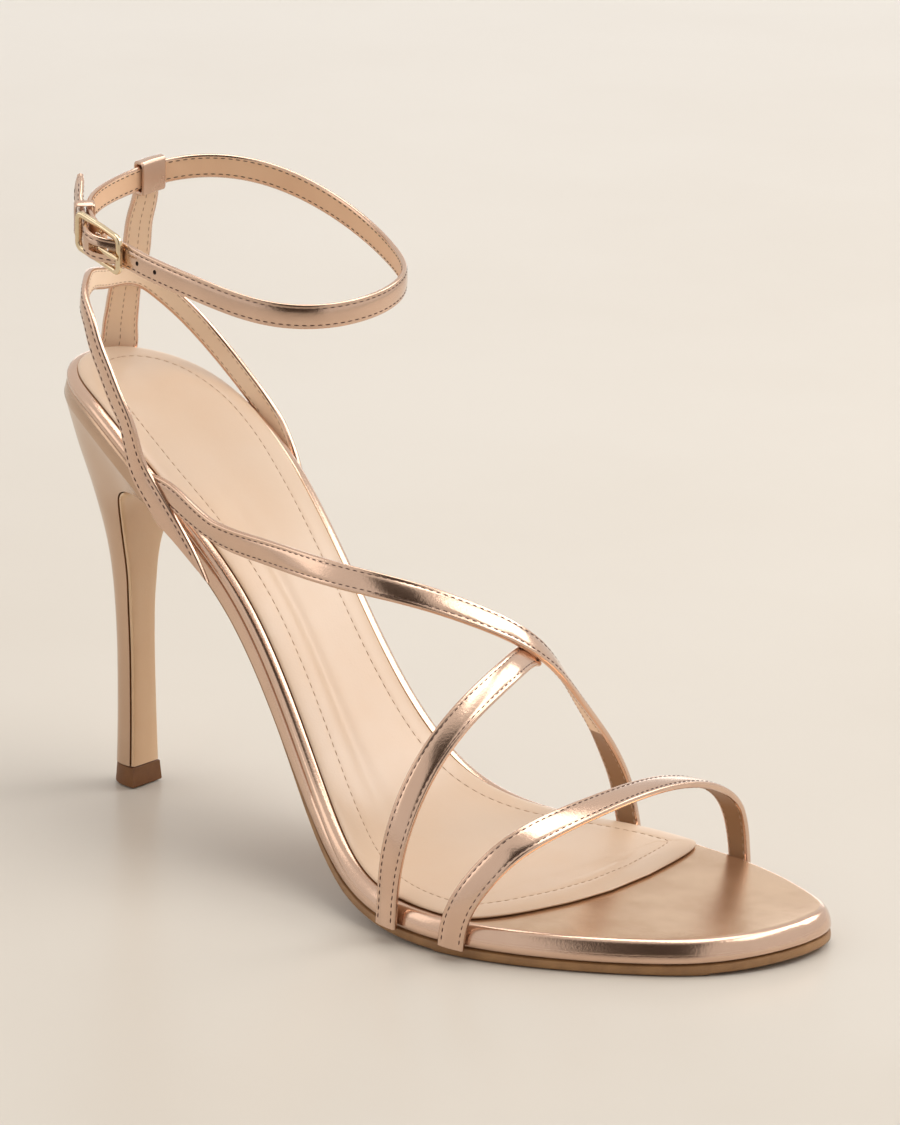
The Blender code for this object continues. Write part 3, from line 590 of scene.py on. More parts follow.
@dataclass(frozen=True)
class Last:
    """Bottom of the last, heel back to toe tip."""

    rows: tuple[SoleRow, ...] = (
        SoleRow(0.0, 5.0, 0.0, 105.2),
        SoleRow(5.2, 4.8, 13.5, 103.6),
        SoleRow(20.5, 3.8, 21.5, 99.0),
        SoleRow(44.2, 1.7, 23.5, 84.9),
        SoleRow(74.1, -2.6, 19.2, 58.0),
        SoleRow(107.3, -7.0, 25.4, 19.2),
        SoleRow(122.5, -7.2, 33.4, 11.2),
        SoleRow(140.4, -6.0, 39.8, 8.5),
        SoleRow(170.3, -2.5, 38.0, 7.8),
        SoleRow(194.0, 1.4, 28.4, 7.8),
        SoleRow(209.3, 5.4, 15.8, 8.4),
        SoleRow(214.5, 8.5, 0.0, 8.9),
    )
    end_share: float = 0.012

    @cached_property
    def length(self) -> float:
        """Length of the sole in plan."""
        return self.rows[-1].along

    @cached_property
    def centre(self) -> Curve:
        """Middle of the sole across, by distance along."""
        return spline([r.along for r in self.rows], [r.centre for r in self.rows])

    @cached_property
    def top(self) -> Curve:
        """Height of the sole's top, by distance along."""
        return spline([r.along for r in self.rows], [r.top for r in self.rows])

    @cached_property
    def half_width(self) -> Curve:
        """Half width of the sole, by share of its run."""
        return spline(self.share([r.along for r in self.rows]), [r.half_width for r in self.rows])

    def share(self, along: float | Sequence[float]) -> np.ndarray:
        """Share of the run at distances from the heel back."""
        return np.arccos(np.clip(1 - 2 * np.asarray(along, float) / self.length, -1, 1)) / math.pi

    def along(self, shares: np.ndarray) -> np.ndarray:
        """Distance from the heel back at shares of the run."""
        return self.length * (1 - np.cos(math.pi * np.asarray(shares, float))) / 2

    def between(self, first: float, last: float, count: int) -> np.ndarray:
        """Shares between two distances from the heel back."""
        return np.linspace(self.share(first), self.share(last), count)

    def whole(self, count: int) -> np.ndarray:
        """Shares from end to end."""
        return np.linspace(self.end_share, 1 - self.end_share, count)

    def upward(self, along: np.ndarray) -> np.ndarray:
        """Directions square to the sole's top, pointing up.

        Args:
            along: Distances from the heel back.

        Returns:
            One direction for each distance.
        """
        reach = 0.2
        slope = (self.top(along + reach)[:, 0] - self.top(along - reach)[:, 0]) / (2 * reach)
        return unit(np.column_stack([-slope, 0 * slope, 1 + 0 * slope]))

    def ring(self, shares: np.ndarray, lateral: float | np.ndarray = 1.0,
             medial: float | np.ndarray = 1.0) -> Ring:
        """Ring on top of the sole.

        Args:
            shares: Shares of the run.
            lateral: Share of the half width used on the lateral side.
            medial: The same on the medial side.

        Returns:
            Points, outward and upward directions.
        """
        along = self.along(shares)
        half = self.half_width(shares)[:, 0]
        sides = []
        for side, share in ((Side.LATERAL, lateral), (Side.MEDIAL, medial)):
            across = self.centre(along)[:, 0] + side.value * half * share
            sides.append(np.column_stack([along, across, self.top(along)[:, 0]]))
        points = np.vstack([sides[0], sides[1][::-1]])
        up = np.vstack([self.upward(along), self.upward(along)[::-1]])
        tangent = np.roll(points, -1, axis=0) - np.roll(points, 1, axis=0)
        return Ring(points, unit(np.cross(tangent, up)), up)

    def rim_feet(self, side: Side, feet: Sequence[tuple[float, float]], reach: float) -> tuple[list, list]:
        """Points on the outside of the rim, and the way the rim faces there.

        Args:
            side: Side of the foot.
            feet: Pairs of distance along and depth below the rim.
            reach: Distance out from the rim.

        Returns:
            The points and the facing directions.
        """
        points, facing = [], []
        stations = np.array((-1.0, 0.0, 1.0))
        middle = 1 if side is Side.LATERAL else -2
        for along, depth in feet:
            ring = self.ring(self.share(along + stations))
            points.append(ring.level(reach, depth)[middle])
            facing.append(ring.outward[middle])
        return points, facing


def there_and_back(values: np.ndarray) -> np.ndarray:
    """Values of one side repeated for a whole ring."""
    return np.r_[values, values[::-1]]


def soft_step(part: np.ndarray) -> np.ndarray:
    """Shares eased at both ends."""
    return part * part * (3 - 2 * part)


def columns(table: Sequence) -> np.ndarray:
    """Columns of a table of rows."""
    return np.array(table).T


class StitchTree:
    """Node tree that lays stitches along lines."""

    bead_sizes = {"Segments": 6, "Rings": 4, "Radius": 0.5}

    def __init__(self) -> None:
        """Build the tree once for every seam."""
        self.tree = bpy.data.node_groups.new("stitch_run", "GeometryNodeTree")
        face = self.tree.interface
        face.new_socket("Lines", in_out="INPUT", socket_type="NodeSocketGeometry")
        self.inputs = {}
        for name, kind in (("Pitch", "NodeSocketFloat"), ("Length", "NodeSocketFloat"),
                           ("Thread", "NodeSocketFloat"), ("Material", "NodeSocketMaterial")):
            self.inputs[name] = face.new_socket(name, in_out="INPUT", socket_type=kind).identifier
        face.new_socket("Stitches", in_out="OUTPUT", socket_type="NodeSocketGeometry")
        enter = self._node("NodeGroupInput")
        curve = self._node("GeometryNodeMeshToCurve", links={"Mesh": enter.outputs["Lines"]})
        even = self._node("GeometryNodeResampleCurve", {"mode": "LENGTH"},
                          {"Curve": curve.outputs[0], "Length": enter.outputs["Pitch"]})
        bead = self._node("GeometryNodeMeshUVSphere")
        for name, value in self.bead_sizes.items():
            bead.inputs[name].default_value = value
        size = self._node("ShaderNodeCombineXYZ", links={
            "X": enter.outputs["Thread"], "Y": enter.outputs["Thread"], "Z": enter.outputs["Length"]})
        run = self._node("GeometryNodeInputTangent")
        turn = self._node("FunctionNodeAlignRotationToVector", {"axis": "Z"}, {"Vector": run.outputs[0]})
        copies = self._node("GeometryNodeInstanceOnPoints", links={
            "Points": even.outputs[0], "Instance": bead.outputs[0],
            "Rotation": turn.outputs[0], "Scale": size.outputs[0]})
        real = self._node("GeometryNodeRealizeInstances", links={"Geometry": copies.outputs[0]})
        soft = self._node("GeometryNodeSetShadeSmooth", links={0: real.outputs[0]})
        look = self._node("GeometryNodeSetMaterial", links={
            "Geometry": soft.outputs[0], "Material": enter.outputs["Material"]})
        self._node("NodeGroupOutput", links={0: look.outputs[0]})

    def _node(self, kind: str, settings: dict | None = None, links: dict | None = None) -> bpy.types.Node:
        """Add a node.

        Args:
            kind: Type name of the node.
            settings: Its properties.
            links: Sockets that feed its inputs, by name or number.

        Returns:
            The node.
        """
        made = self.tree.nodes.new(kind)
        for name, value in (settings or {}).items():
            setattr(made, name, value)
        for name, socket in (links or {}).items():
            self.tree.links.new(socket, made.inputs[name])
        return made

    def seam(self, name: str, lines: Sequence[np.ndarray], thread: bpy.types.Material, slot: Slot,
             pitch: float = 1.8, length: float = 1.2, thick: float = 0.27) -> bpy.types.Object:
        """Sew lines with stitches.

        Args:
            name: Name of the piece.
            lines: Paths in mm.
            thread: Material of the thread.
            slot: Material slot of the record.
            pitch: Distance from stitch to stitch, in mm.
            length: Length of a stitch, in mm.
            thick: Thickness of the thread, in mm.

        Returns:
            The stitches as one piece.
        """
        points = [(np.asarray(line) - ORIGIN) * MM for line in lines]
        starts = np.r_[0, np.cumsum([len(p) for p in points])]
        edges = [(int(s + i), int(s + i + 1)) for s, p in zip(starts, points) for i in range(len(p) - 1)]
        mesh = bpy.data.meshes.new(name)
        mesh.from_pydata(np.vstack(points).tolist(), edges, [])
        made = bpy.data.objects.new(name, mesh)
        bpy.context.scene.collection.objects.link(made)
        change = made.modifiers.new("stitches", "NODES")
        change.node_group = self.tree
        for key, value in (("Pitch", pitch * MM), ("Length", length * MM), ("Thread", thick * MM)):
            change[self.inputs[key]] = value
        change[self.inputs["Material"]] = thread
        bake_modifiers(made)
        return settle(made, slot)


@dataclass
class SoleUnit:
    """Board with its bead, side wall, outsole and padded insole."""

    last: Last
    looks: Finishes
    sewing: StitchTree
    stations: int = 230
    wall_top: float = 2.86
    wall_back: float = 48.9
    outsole_back: float = 52.0
    outsole_gap: float = 0.3
    contact: float = 0.3
    pad_lift: float = 0.3
    pad_front_stations: int = 60
    pad_soft_loops: int = 2
    stitch_inset: float = 7.6
    stitch_sink: float = 0.08
    stitch_pitch: float = 2.2
    stitch_length: float = 1.5
    stitch_thick: float = 0.26
    sock_columns: int = 14
    pad_columns: int = 28
    fold_share: float = 0.985
    hollow_width: float = 24.0
    trough_at: float = 0.22
    trough_width: float = 0.12
    sock_edge: int = 1
    toe_blend: tuple = (96.0, 126.0)
    # Depths of the layers by distance along
    depth_along: tuple = (0.0, 60.0, 95.0, 122.5, 140.0, 214.5)
    wall_bottom: tuple = (6.4, 6.4, 6.0, 5.3, 5.3, 5.3)
    outsole_bottom: tuple = (7.5, 7.5, 7.2, 7.6, 7.8, 7.8)
    # Profiles of the bead as distance out and depth, at the arch and at the toe
    bead: tuple = (
        (-2.1, 0.0), (-1.42, -0.3), (-1.1, -0.26), (-0.6, -0.1), (-0.1, 0.14), (0.3, 0.44), (0.56, 0.78),
        (0.7, 1.14), (0.74, 1.5), (0.7, 1.9), (0.58, 2.25), (0.36, 2.55), (-0.3, 2.72))
    toe_bead: tuple = (
        (-2.1, 0.0), (-1.7, 0.02), (-1.25, 0.12), (-0.85, 0.35), (-0.5, 0.7), (-0.22, 1.1), (0.02, 1.55),
        (0.2, 2.0), (0.33, 2.4), (0.43, 2.75), (0.5, 3.05), (0.53, 3.25), (0.2, 3.35))
    # How far each bead point moves up and inward where the rim stands up on the inner side
    rim_rise: tuple = (0.0, 0.54, 0.68, 0.82, 0.97, 1.03, 0.98, 0.7, 0.5, 0.25, 0.1, 0.0, 0.0)
    rim_inward: tuple = (0.75, 0.8, 0.75, 0.6, 0.35, 0.15, 0.05, 0.0, 0.0, 0.0, 0.0, 0.0, 0.0)
    rim_rise_along: tuple = ((30.0, 0.0), (52.0, 1.0), (100.0, 1.2), (128.0, 0.9), (150.0, 0.0))
    # Profiles of the wall and outsole as distance out and share of the height
    wall: tuple = (
        (-0.5, -0.02), (0.1, 0.0), (0.36, 0.05), (0.44, 0.2), (0.4, 0.8), (0.2, 0.97), (-0.45, 1.0))
    toe_wall: tuple = (
        (0.1, -0.15), (0.34, -0.1), (0.51, 0.15), (0.63, 0.45), (0.64, 0.74), (0.34, 0.93), (-0.4, 1.0))
    outsole_edge: tuple = ((-0.5, 0.0), (-0.1, 0.1), (0.0, 0.3), (0.0, 0.65), (-0.12, 0.88), (-0.4, 1.0))
    outsole_reach: tuple = ((90.0, -0.6), (120.0, 0.5))
    # Edge of the pad as distance out and rise, and the groove of its seam as distance in and drop
    pad_edge: tuple = (
        (-1.75, 0.0), (-1.57, 0.18), (-1.52, 0.36), (-1.62, 0.54), (-1.9, 0.7), (-2.5, 0.88), (-3.4, 1.05),
        (-4.6, 1.17), (-6.2, 1.22))
    stitch_groove: tuple = ((-0.75, 0.0), (-0.4, 0.06), (0.0, 0.12), (0.4, 0.06), (0.8, 0.0), (2.4, 0.02))
    # Outline of the pad as distance along and shares of the half width, lateral and medial
    pad_front: tuple = (
        (0.0, 1.0, 1.0), (146.0, 1.0, 1.0), (153.0, 1.0, 1.0), (158.0, 0.96, 1.0), (161.5, 0.85, 1.0),
        (164.5, 0.7, 0.98), (167.0, 0.52, 0.88), (169.0, 0.32, 0.64), (170.4, 0.08, 0.3))
    pad_medial: tuple = ((30.0, 1.0), (52.0, 0.955), (100.0, 0.945), (128.0, 0.97), (150.0, 1.0))
    # Drop of the footbed and of its trough by distance along
    hollow: tuple = ((0.0, 0.2), (20.0, 0.7), (90.0, 0.7), (135.0, 0.15))
    trough: tuple = ((45.0, 0.0), (70.0, 0.9), (100.0, 0.9), (130.0, 0.0))

    def build(self) -> None:
        """Make every layer of the sole."""
        self.build_board()
        self.build_wall()
        self.build_outsole()
        self.build_insole()

    def shares_from(self, back: float) -> np.ndarray:
        """Shares of the run from a distance along to the toe."""
        return self.last.between(back, self.last.along(1 - self.last.end_share), self.stations)

    def depth(self, shares: np.ndarray, table: tuple) -> np.ndarray:
        """Depth of a layer face round a ring."""
        return there_and_back(np.interp(self.last.along(shares), self.depth_along, table))

    def toward_toe(self, shares: np.ndarray, arch: tuple, toe: tuple) -> list[tuple[np.ndarray, np.ndarray]]:
        """Profile round a ring that changes from the arch to the toe.

        Args:
            shares: Shares of the run on one side of the ring.
            arch: Profile at the arch.
            toe: Profile at the toe.

        Returns:
            Both numbers of each profile point, round the ring.
        """
        part = np.clip((self.last.along(shares) - self.toe_blend[0]) / np.ptp(self.toe_blend), 0, 1)
        part = there_and_back(soft_step(part))
        return [(a[0] + (b[0] - a[0]) * part, a[1] + (b[1] - a[1]) * part) for a, b in zip(arch, toe)]

    def medial_rise(self, shares: np.ndarray) -> np.ndarray:
        """Height that the rim stands up along the inner side of the arch.

        Args:
            shares: Shares of the run on one side of the ring.

        Returns:
            One height for each point round the ring.
        """
        medial = np.interp(self.last.along(shares), *columns(self.rim_rise_along))
        return np.r_[0 * medial, medial[::-1]]

    def build_board(self) -> None:
        """Board wrapped in foil, with a rounded bead and the satin toe sock on top."""
        shares = self.last.whole(self.stations)
        ring = self.last.ring(shares)
        profile = self.toward_toe(shares, self.bead, self.toe_bead)
        rise = self.medial_rise(shares)
        loops = [ring.level(out - rise * inward, depth - rise * upward)
                 for (out, depth), inward, upward in zip(profile, self.rim_inward, self.rim_rise)]
        draft = Draft()
        index = draft.grid(np.array(loops))
        draft.skin(index[:self.sock_edge + 1], 1, wrap=True)
        draft.skin(index[self.sock_edge:], 0, wrap=True)
        draft.field(index[0], loops[0], self.sock_columns, 1)
        draft.ladder(index[-1], 0)
        settle(draft.make("board", (self.looks.foil, self.looks.sock)), Slot.FOIL, "insole_board")

    def build_wall(self) -> None:
        """Foil wall under the bead, from the heel seat to the toe."""
        shares = self.shares_from(self.wall_back)
        ring = self.last.ring(shares)
        tall = self.depth(shares, self.wall_bottom) - self.wall_top
        profile = self.toward_toe(shares, self.wall, self.toe_wall)
        draft = Draft()
        draft.body([ring.level(out, self.wall_top + tall * share) for out, share in profile], laddered=True)
        settle(draft.make("side_wall", (self.looks.foil,)), Slot.FOIL, "sole_wall")

    def build_outsole(self) -> None:
        """Outsole with a stained edge, flat where it meets the floor."""
        shares = self.shares_from(self.outsole_back)
        ring = self.last.ring(shares)
        roof = self.depth(shares, self.wall_bottom) + self.outsole_gap
        floor = self.depth(shares, self.outsole_bottom)
        reach = there_and_back(np.interp(self.last.along(shares), *columns(self.outsole_reach)))
        loops = [ring.level(reach + out, roof + (floor - roof) * share) for out, share in self.outsole_edge]
        loops[-1][:, 2] = np.where(loops[-1][:, 2] < self.contact, 0.0, loops[-1][:, 2])
        draft = Draft()
        index = draft.grid(np.array(loops))
        draft.skin(index, 0, wrap=True)
        draft.ladder(index[0])
        draft.ladder(index[-1], 1)
        settle(draft.make("outsole_edge", (self.looks.edge, self.looks.under)), Slot.OUTSOLE, "outsole")

    def pad_ring(self) -> Ring:
        """Outline of the insole pad.

        Returns:
            Ring with a curved front, drawn in from the rim on the inner side.
        """
        along, lateral, medial = columns(self.pad_front)
        bend = self.last.share(along[1])
        back = np.linspace(self.last.end_share, bend, self.stations - self.pad_front_stations)
        front = np.linspace(bend, self.last.share(along[-1]), self.pad_front_stations + 1)[1:]
        shares = np.r_[back, front]
        places = self.last.along(shares)
        at = np.clip(places, along[1], None)
        edges = [spline(along[1:], side[1:])(at)[:, 0] for side in (lateral, medial)]
        edges[1] = edges[1] * np.interp(places, *columns(self.pad_medial))
        return self.last.ring(shares, *edges)

    def inset_loop(self, ring: Ring, inset: float, depth: float) -> np.ndarray:
        """Ring moved inward, with the folds at its corners taken out.

        Args:
            ring: The ring.
            inset: Distance inward.
            depth: Distance down.

        Returns:
            Points of the moved ring.
        """
        moved = ring.level(-inset, depth)
        apart = ring.level(-inset, 0.0)[:, None, :] - ring.points[None, :, :]
        good = np.linalg.norm(apart, axis=2).min(axis=1) > inset * self.fold_share
        at = np.arange(len(moved))
        return np.column_stack([np.interp(at, at[good], moved[good, k], period=len(at)) for k in range(3)])

    def dish(self, inner: np.ndarray, share: np.ndarray) -> np.ndarray:
        """Hollow of the footbed, flat at the ball, with a trough along the outer side of the waist.

        Args:
            inner: Points of the footbed by station and column.
            share: Share across of each column.

        Returns:
            Drop of each point in mm.
        """
        along = inner[:, :, 0]
        wide = np.linalg.norm(inner[:, -1] - inner[:, 0], axis=1)[:, None]
        fade = np.interp(along, *columns(self.hollow)) * np.clip(wide / self.hollow_width, 0, 1) ** 2
        trough = np.interp(along, *columns(self.trough))
        across = np.exp(-((share - self.trough_at) / self.trough_width) ** 2)[None, :]
        return fade * np.sin(math.pi * share)[None, :] ** 2 + trough * across

    def build_insole(self) -> None:
        """Padded insole with a soft edge, a hollow footbed and a seam round it."""
        ring = self.pad_ring()
        lift = self.pad_lift
        soft = self.pad_soft_loops
        loops = [ring.level(out, -lift - rise) for out, rise in self.pad_edge[:-soft]]
        loops += [self.inset_loop(ring, -out, -lift - rise) for out, rise in self.pad_edge[-soft:]]
        crest = self.pad_edge[-1][1]
        for inward, drop in self.stitch_groove:
            loops.append(self.inset_loop(ring, self.stitch_inset + inward, -lift - crest + drop))
        draft = Draft()
        index = draft.grid(np.array(loops))
        draft.skin(index, 0, wrap=True)
        draft.ladder(index[0])
        draft.field(index[-1], loops[-1], self.pad_columns, 0, self.dish)
        pad = settle(draft.make("insole_pad", (self.looks.insole,)), Slot.INSOLE, "insole")
        line = self.inset_loop(ring, self.stitch_inset, -lift - crest + self.stitch_sink)
        line = np.vstack([line, line[:1]])
        self.sewing.seam("insole_seam", [line], self.looks.pale_thread, Slot.INSOLE,
                         self.stitch_pitch, self.stitch_length, self.stitch_thick)


class HeelRow(NamedTuple):
    """One level of the heel, in mm; the seat share blends it into the sole's outline."""

    level: float
    front: float
    back: float
    half_width: float
    seat_share: float


@dataclass
class Heel:
    """Wrapped stiletto heel, its breast cover and its top piece."""

    last: Last
    looks: Finishes
    steps: int = 44
    levels: int = 90
    squareness: float = 2.3
    back_turn: float = 4.0
    seat_front: float = 48.4
    seat_depth: float = 6.4
    wall_top: float = 2.86
    seat_out: float = 0.4
    gap: float = 0.3
    breast_thick: float = 0.9
    breast_inset: float = 0.7
    breast_top: float = 83.0
    breast_arch: float = 4.0
    breast_least: float = 0.02
    rows: tuple[HeelRow, ...] = (
        HeelRow(5.3, 21.0, 14.0, 4.9, 0.0),
        HeelRow(15.0, 20.8, 14.1, 4.6, 0.0),
        HeelRow(26.0, 20.5, 14.0, 4.4, 0.0),
        HeelRow(37.0, 20.2, 13.7, 4.4, 0.0),
        HeelRow(47.0, 20.0, 13.1, 4.8, 0.0),
        HeelRow(55.0, 20.1, 12.3, 5.5, 0.0),
        HeelRow(62.0, 19.6, 11.4, 6.6, 0.03),
        HeelRow(68.0, 18.8, 10.2, 7.9, 0.1),
        HeelRow(73.0, 16.8, 8.8, 8.8, 0.22),
        HeelRow(77.5, 13.8, 7.0, 9.4, 0.38),
        HeelRow(82.0, 11.8, 5.4, 10.0, 0.56),
        HeelRow(86.0, 11.0, 4.2, 10.6, 0.77),
        HeelRow(90.0, 10.6, 3.2, 11.2, 1.0),
    )
    # Rim of the seat as distance in and share of its depth
    seat_rim: tuple = ((0.0, 0.6), (0.0, 0.25), (0.06, 0.08), (0.3, 0.0), (0.9, -0.02))
    # Half section of the breast cover as shares of half width and thickness
    breast_profile: tuple = ((1.0, 0.0), (1.0, 0.5), (0.96, 0.85), (0.85, 1.0), (0.4, 1.03))
    # Side of the top piece as level and growth
    tip_profile: tuple = ((5.0, -0.15), (4.88, 0.0), (2.5, 0.18), (0.5, 0.35), (0.12, 0.28), (0.0, 0.05))

    def build(self) -> None:
        """Make heel, breast cover and top piece."""
        self.build_heel()
        self.build_breast()
        self.build_tip()

    @cached_property
    def shape(self) -> Curve:
        """Front, back, half width and seat share by level."""
        return spline([r.level for r in self.rows], [tuple(r)[1:] for r in self.rows])

    @cached_property
    def seat(self) -> Ring:
        """Ring of the heel seat."""
        start = self.last.along(self.last.end_share)
        return self.last.ring(self.last.between(start, self.seat_front, self.steps))

    def section(self, level: float, front: float, back: float, half: float) -> np.ndarray:
        """Section with a flat front and a rounded back.

        Args:
            level: Height of the section.
            front: Place of the flat front.
            back: Place of the rounded back.
            half: Half width at the front.

        Returns:
            Points of the loop, lateral side first.
        """
        turn = np.radians(np.linspace(self.back_turn, 90, self.steps))
        power = 2 / self.squareness
        x = front - (front - back) * np.cos(turn) ** power
        y = half * np.sin(turn) ** power
        sides = [np.column_stack([x, side.value * y, 0 * x + level]) for side in Side]
        return np.vstack([sides[0], sides[1][::-1]])

    def loop(self, level: float) -> np.ndarray:
        """Section of the heel, blended into the seat.

        Args:
            level: Height of the section.

        Returns:
            Points of the loop.
        """
        front, back, half, share = self.shape(level)[0]
        share = min(max(share, 0.0), 1.0)
        seat = self.seat.level(self.seat_out, self.seat_depth)
        return self.section(level, front, back, half) * (1 - share) + seat * share

    def build_heel(self) -> None:
        """Heel wrapped in foil up to the seat."""
        levels = np.linspace(self.rows[0].level, self.rows[-1].level, self.levels)
        loops = [self.loop(level) for level in levels]
        tall = self.seat_depth - self.wall_top
        for inward, share in self.seat_rim:
            loops.append(self.seat.level(self.seat_out - inward, self.wall_top + tall * share))
        draft = Draft()
        draft.body(loops, laddered=True)
        settle(draft.make("heel_block", (self.looks.heel,)), Slot.FOIL, "heel")

    def build_breast(self) -> None:
        """Cover on the front of the heel with an arched top."""
        levels = np.linspace(self.rows[0].level, self.breast_top, self.levels)
        rows = np.array([self.loop(level) for level in levels])
        lateral, medial = rows[:, self.steps - 1], rows[:, self.steps]
        middle = (lateral + medial) / 2
        width = np.linalg.norm(medial - lateral, axis=1) - self.breast_inset
        arch = np.clip((levels - self.breast_top + self.breast_arch) / self.breast_arch, 0, 1)
        half = (width * np.sqrt(np.clip(1 - arch ** 2, self.breast_least, 1)))[:, None] / 2
        side = unit(medial - lateral)
        face = unit(np.cross(side, tangents_of(middle)))
        reach = self.breast_profile + tuple((-share, out) for share, out in reversed(self.breast_profile))
        thick = [self.gap + self.breast_thick * out for _, out in reach]
        edges = [middle + side * half * share + face * t for (share, _), t in zip(reach, thick)]
        draft = Draft()
        draft.body(np.array(edges).transpose(1, 0, 2))
        settle(draft.make("breast_cover", (self.looks.breast,)), Slot.BREAST, "heel_breast")

    def build_tip(self) -> None:
        """Rubber top piece under the heel."""
        end = self.rows[0]
        front = end.front + self.gap + self.breast_thick
        draft = Draft()
        draft.body([self.section(level, front + grow, end.back - grow, end.half_width + grow)
                    for level, grow in self.tip_profile], laddered=True)
        settle(draft.make("top_piece", (self.looks.tip,)), Slot.TIP, "heel_tip")


@dataclass(frozen=True)
class StrapSection:
    """Folded strap: crowned outer face with a stitch groove each side, and a lining inside."""

    thick: float = 1.8
    edge: float = 0.45
    crown: float = 0.3
    seam: float = 1.05
    groove: float = 0.1
    margin: float = 0.6
    step: float = 0.14
    groove_width: float = 0.22
    thread_lift: float = 0.04
    thread_sink: float = 0.02
    lining_share: float = 0.6
    outer: tuple = (0.0, 0.18, 0.42, 0.6, 0.78, 1.2)
    outer_middle: tuple = (0.66, 0.33)
    arc: tuple = (70, 35, 0, -35, -70)
    # Turn from the folded edge to the lining as distance in and share of the step
    inner: tuple = ((-0.04, 0.0), (0.1, 0.8), (0.3, 1.0))
    inner_middle: float = 0.5

    def face(self, width: float, inward: float) -> float:
        """Height of the outer face.

        Args:
            width: Width of the strap.
            inward: Distance in from its edge.

        Returns:
            Height above the middle of the strap.
        """
        half = width / 2
        dip = self.groove * math.exp(-((inward - self.seam) / self.groove_width) ** 2)
        return self.thick / 2 - self.crown * (1 - inward / half) ** 2 - dip

    def outline(self, width: float) -> list[tuple[float, float]]:
        """Closed section of the strap.

        Args:
            width: Width of the strap.

        Returns:
            Pairs across and outward, outer face first.
        """
        half = width / 2
        spots = [self.edge + v for v in self.outer]
        flat = half - spots[-1]
        face = [(half - e, self.face(width, e)) for e in spots]
        face += [(flat * share, self.face(width, half - flat * share)) for share in self.outer_middle]
        top, low = self.face(width, self.edge), -self.thick / 2 + self.step
        middle, tall = (top + low) / 2, (top - low) / 2
        turn = [(half - self.edge + self.edge * math.cos(a), middle + tall * math.sin(a))
                for a in map(math.radians, self.arc)]
        lining = half - self.margin
        inner = [(lining - inward, low - self.step * share) for inward, share in self.inner]
        inner.append((lining * self.inner_middle, low - self.step))
        right = face[::-1] + turn + inner
        left = [(-u, v) for u, v in right[::-1]]
        return [(0.0, self.face(width, half))] + right + [(0.0, low - self.step)] + left

    def finishes(self, width: float) -> np.ndarray:
        """Finish of each side of the section: lining inside, foil elsewhere.

        Args:
            width: Width of the strap.

        Returns:
            Number of the finish of each side.
        """
        outward = np.array(self.outline(width))[:, 1]
        low = -self.thick / 2 + self.step * self.lining_share
        return ((outward < low) & (np.roll(outward, -1) < low)).astype(int)


class StrapRun(NamedTuple):
    """Path of a strap with the ways it faces, its widths and its shares of full thickness."""

    path: np.ndarray
    across: np.ndarray
    outward: np.ndarray
    widths: np.ndarray
    shares: np.ndarray

    def line(self, across: np.ndarray | float, outward: float) -> np.ndarray:
        """Line on the strap at a place across and a height."""
        spot = np.broadcast_to(np.asarray(across, float), len(self.path))[:, None]
        return self.path + self.across * spot + self.outward * outward


def sweep(name: str, run: StrapRun, section: StrapSection,
          looks: Sequence[bpy.types.Material]) -> bpy.types.Object:
    """Strap swept along its run.

    Args:
        name: Name of the piece.
        run: Path, facing and widths.
        section: Section of the strap.
        looks: Foil and lining.

    Returns:
        The strap as a closed piece.
    """
    loops = []
    for place, side, face, width, share in zip(*run):
        loops.append([place + side * u + face * v * share for u, v in section.outline(width)])
    draft = Draft()
    draft.body(loops, section.finishes(float(run.widths[0])))
    return draft.make(name, looks)


def seam_lines(run: StrapRun, section: StrapSection, outside: bool) -> list[np.ndarray]:
    """Stitch lines near both edges of a strap.

    Args:
        run: Path, facing and widths.
        section: Section of the strap.
        outside: Whether the lines lie on the outer face, or else on the lining.

    Returns:
        One path for each edge.
    """
    height = -section.thick / 2 - section.thread_sink
    if outside:
        height = section.face(float(np.median(run.widths)), section.seam) + section.thread_lift
    return [run.line(side.value * (run.widths / 2 - section.seam), height) for side in Side]


@dataclass(frozen=True)
class Strap:
    """One strap of the upper: its widths, feet on the rim, and rows along, across and up, in mm."""

    name: str
    widths: tuple[float, ...]
    start: tuple[Side, tuple]
    rows: tuple
    end: tuple[Side, tuple] | None = None
    nodes: tuple[str, ...] = ()
    to_tunnel: bool = False
    trimmed: bool = False
    sideways: float = 1.0
    lift: tuple[float, float] = (0.0, 0.0)
    lift_hold: float = 4.0
    lift_fade: float = 14.0


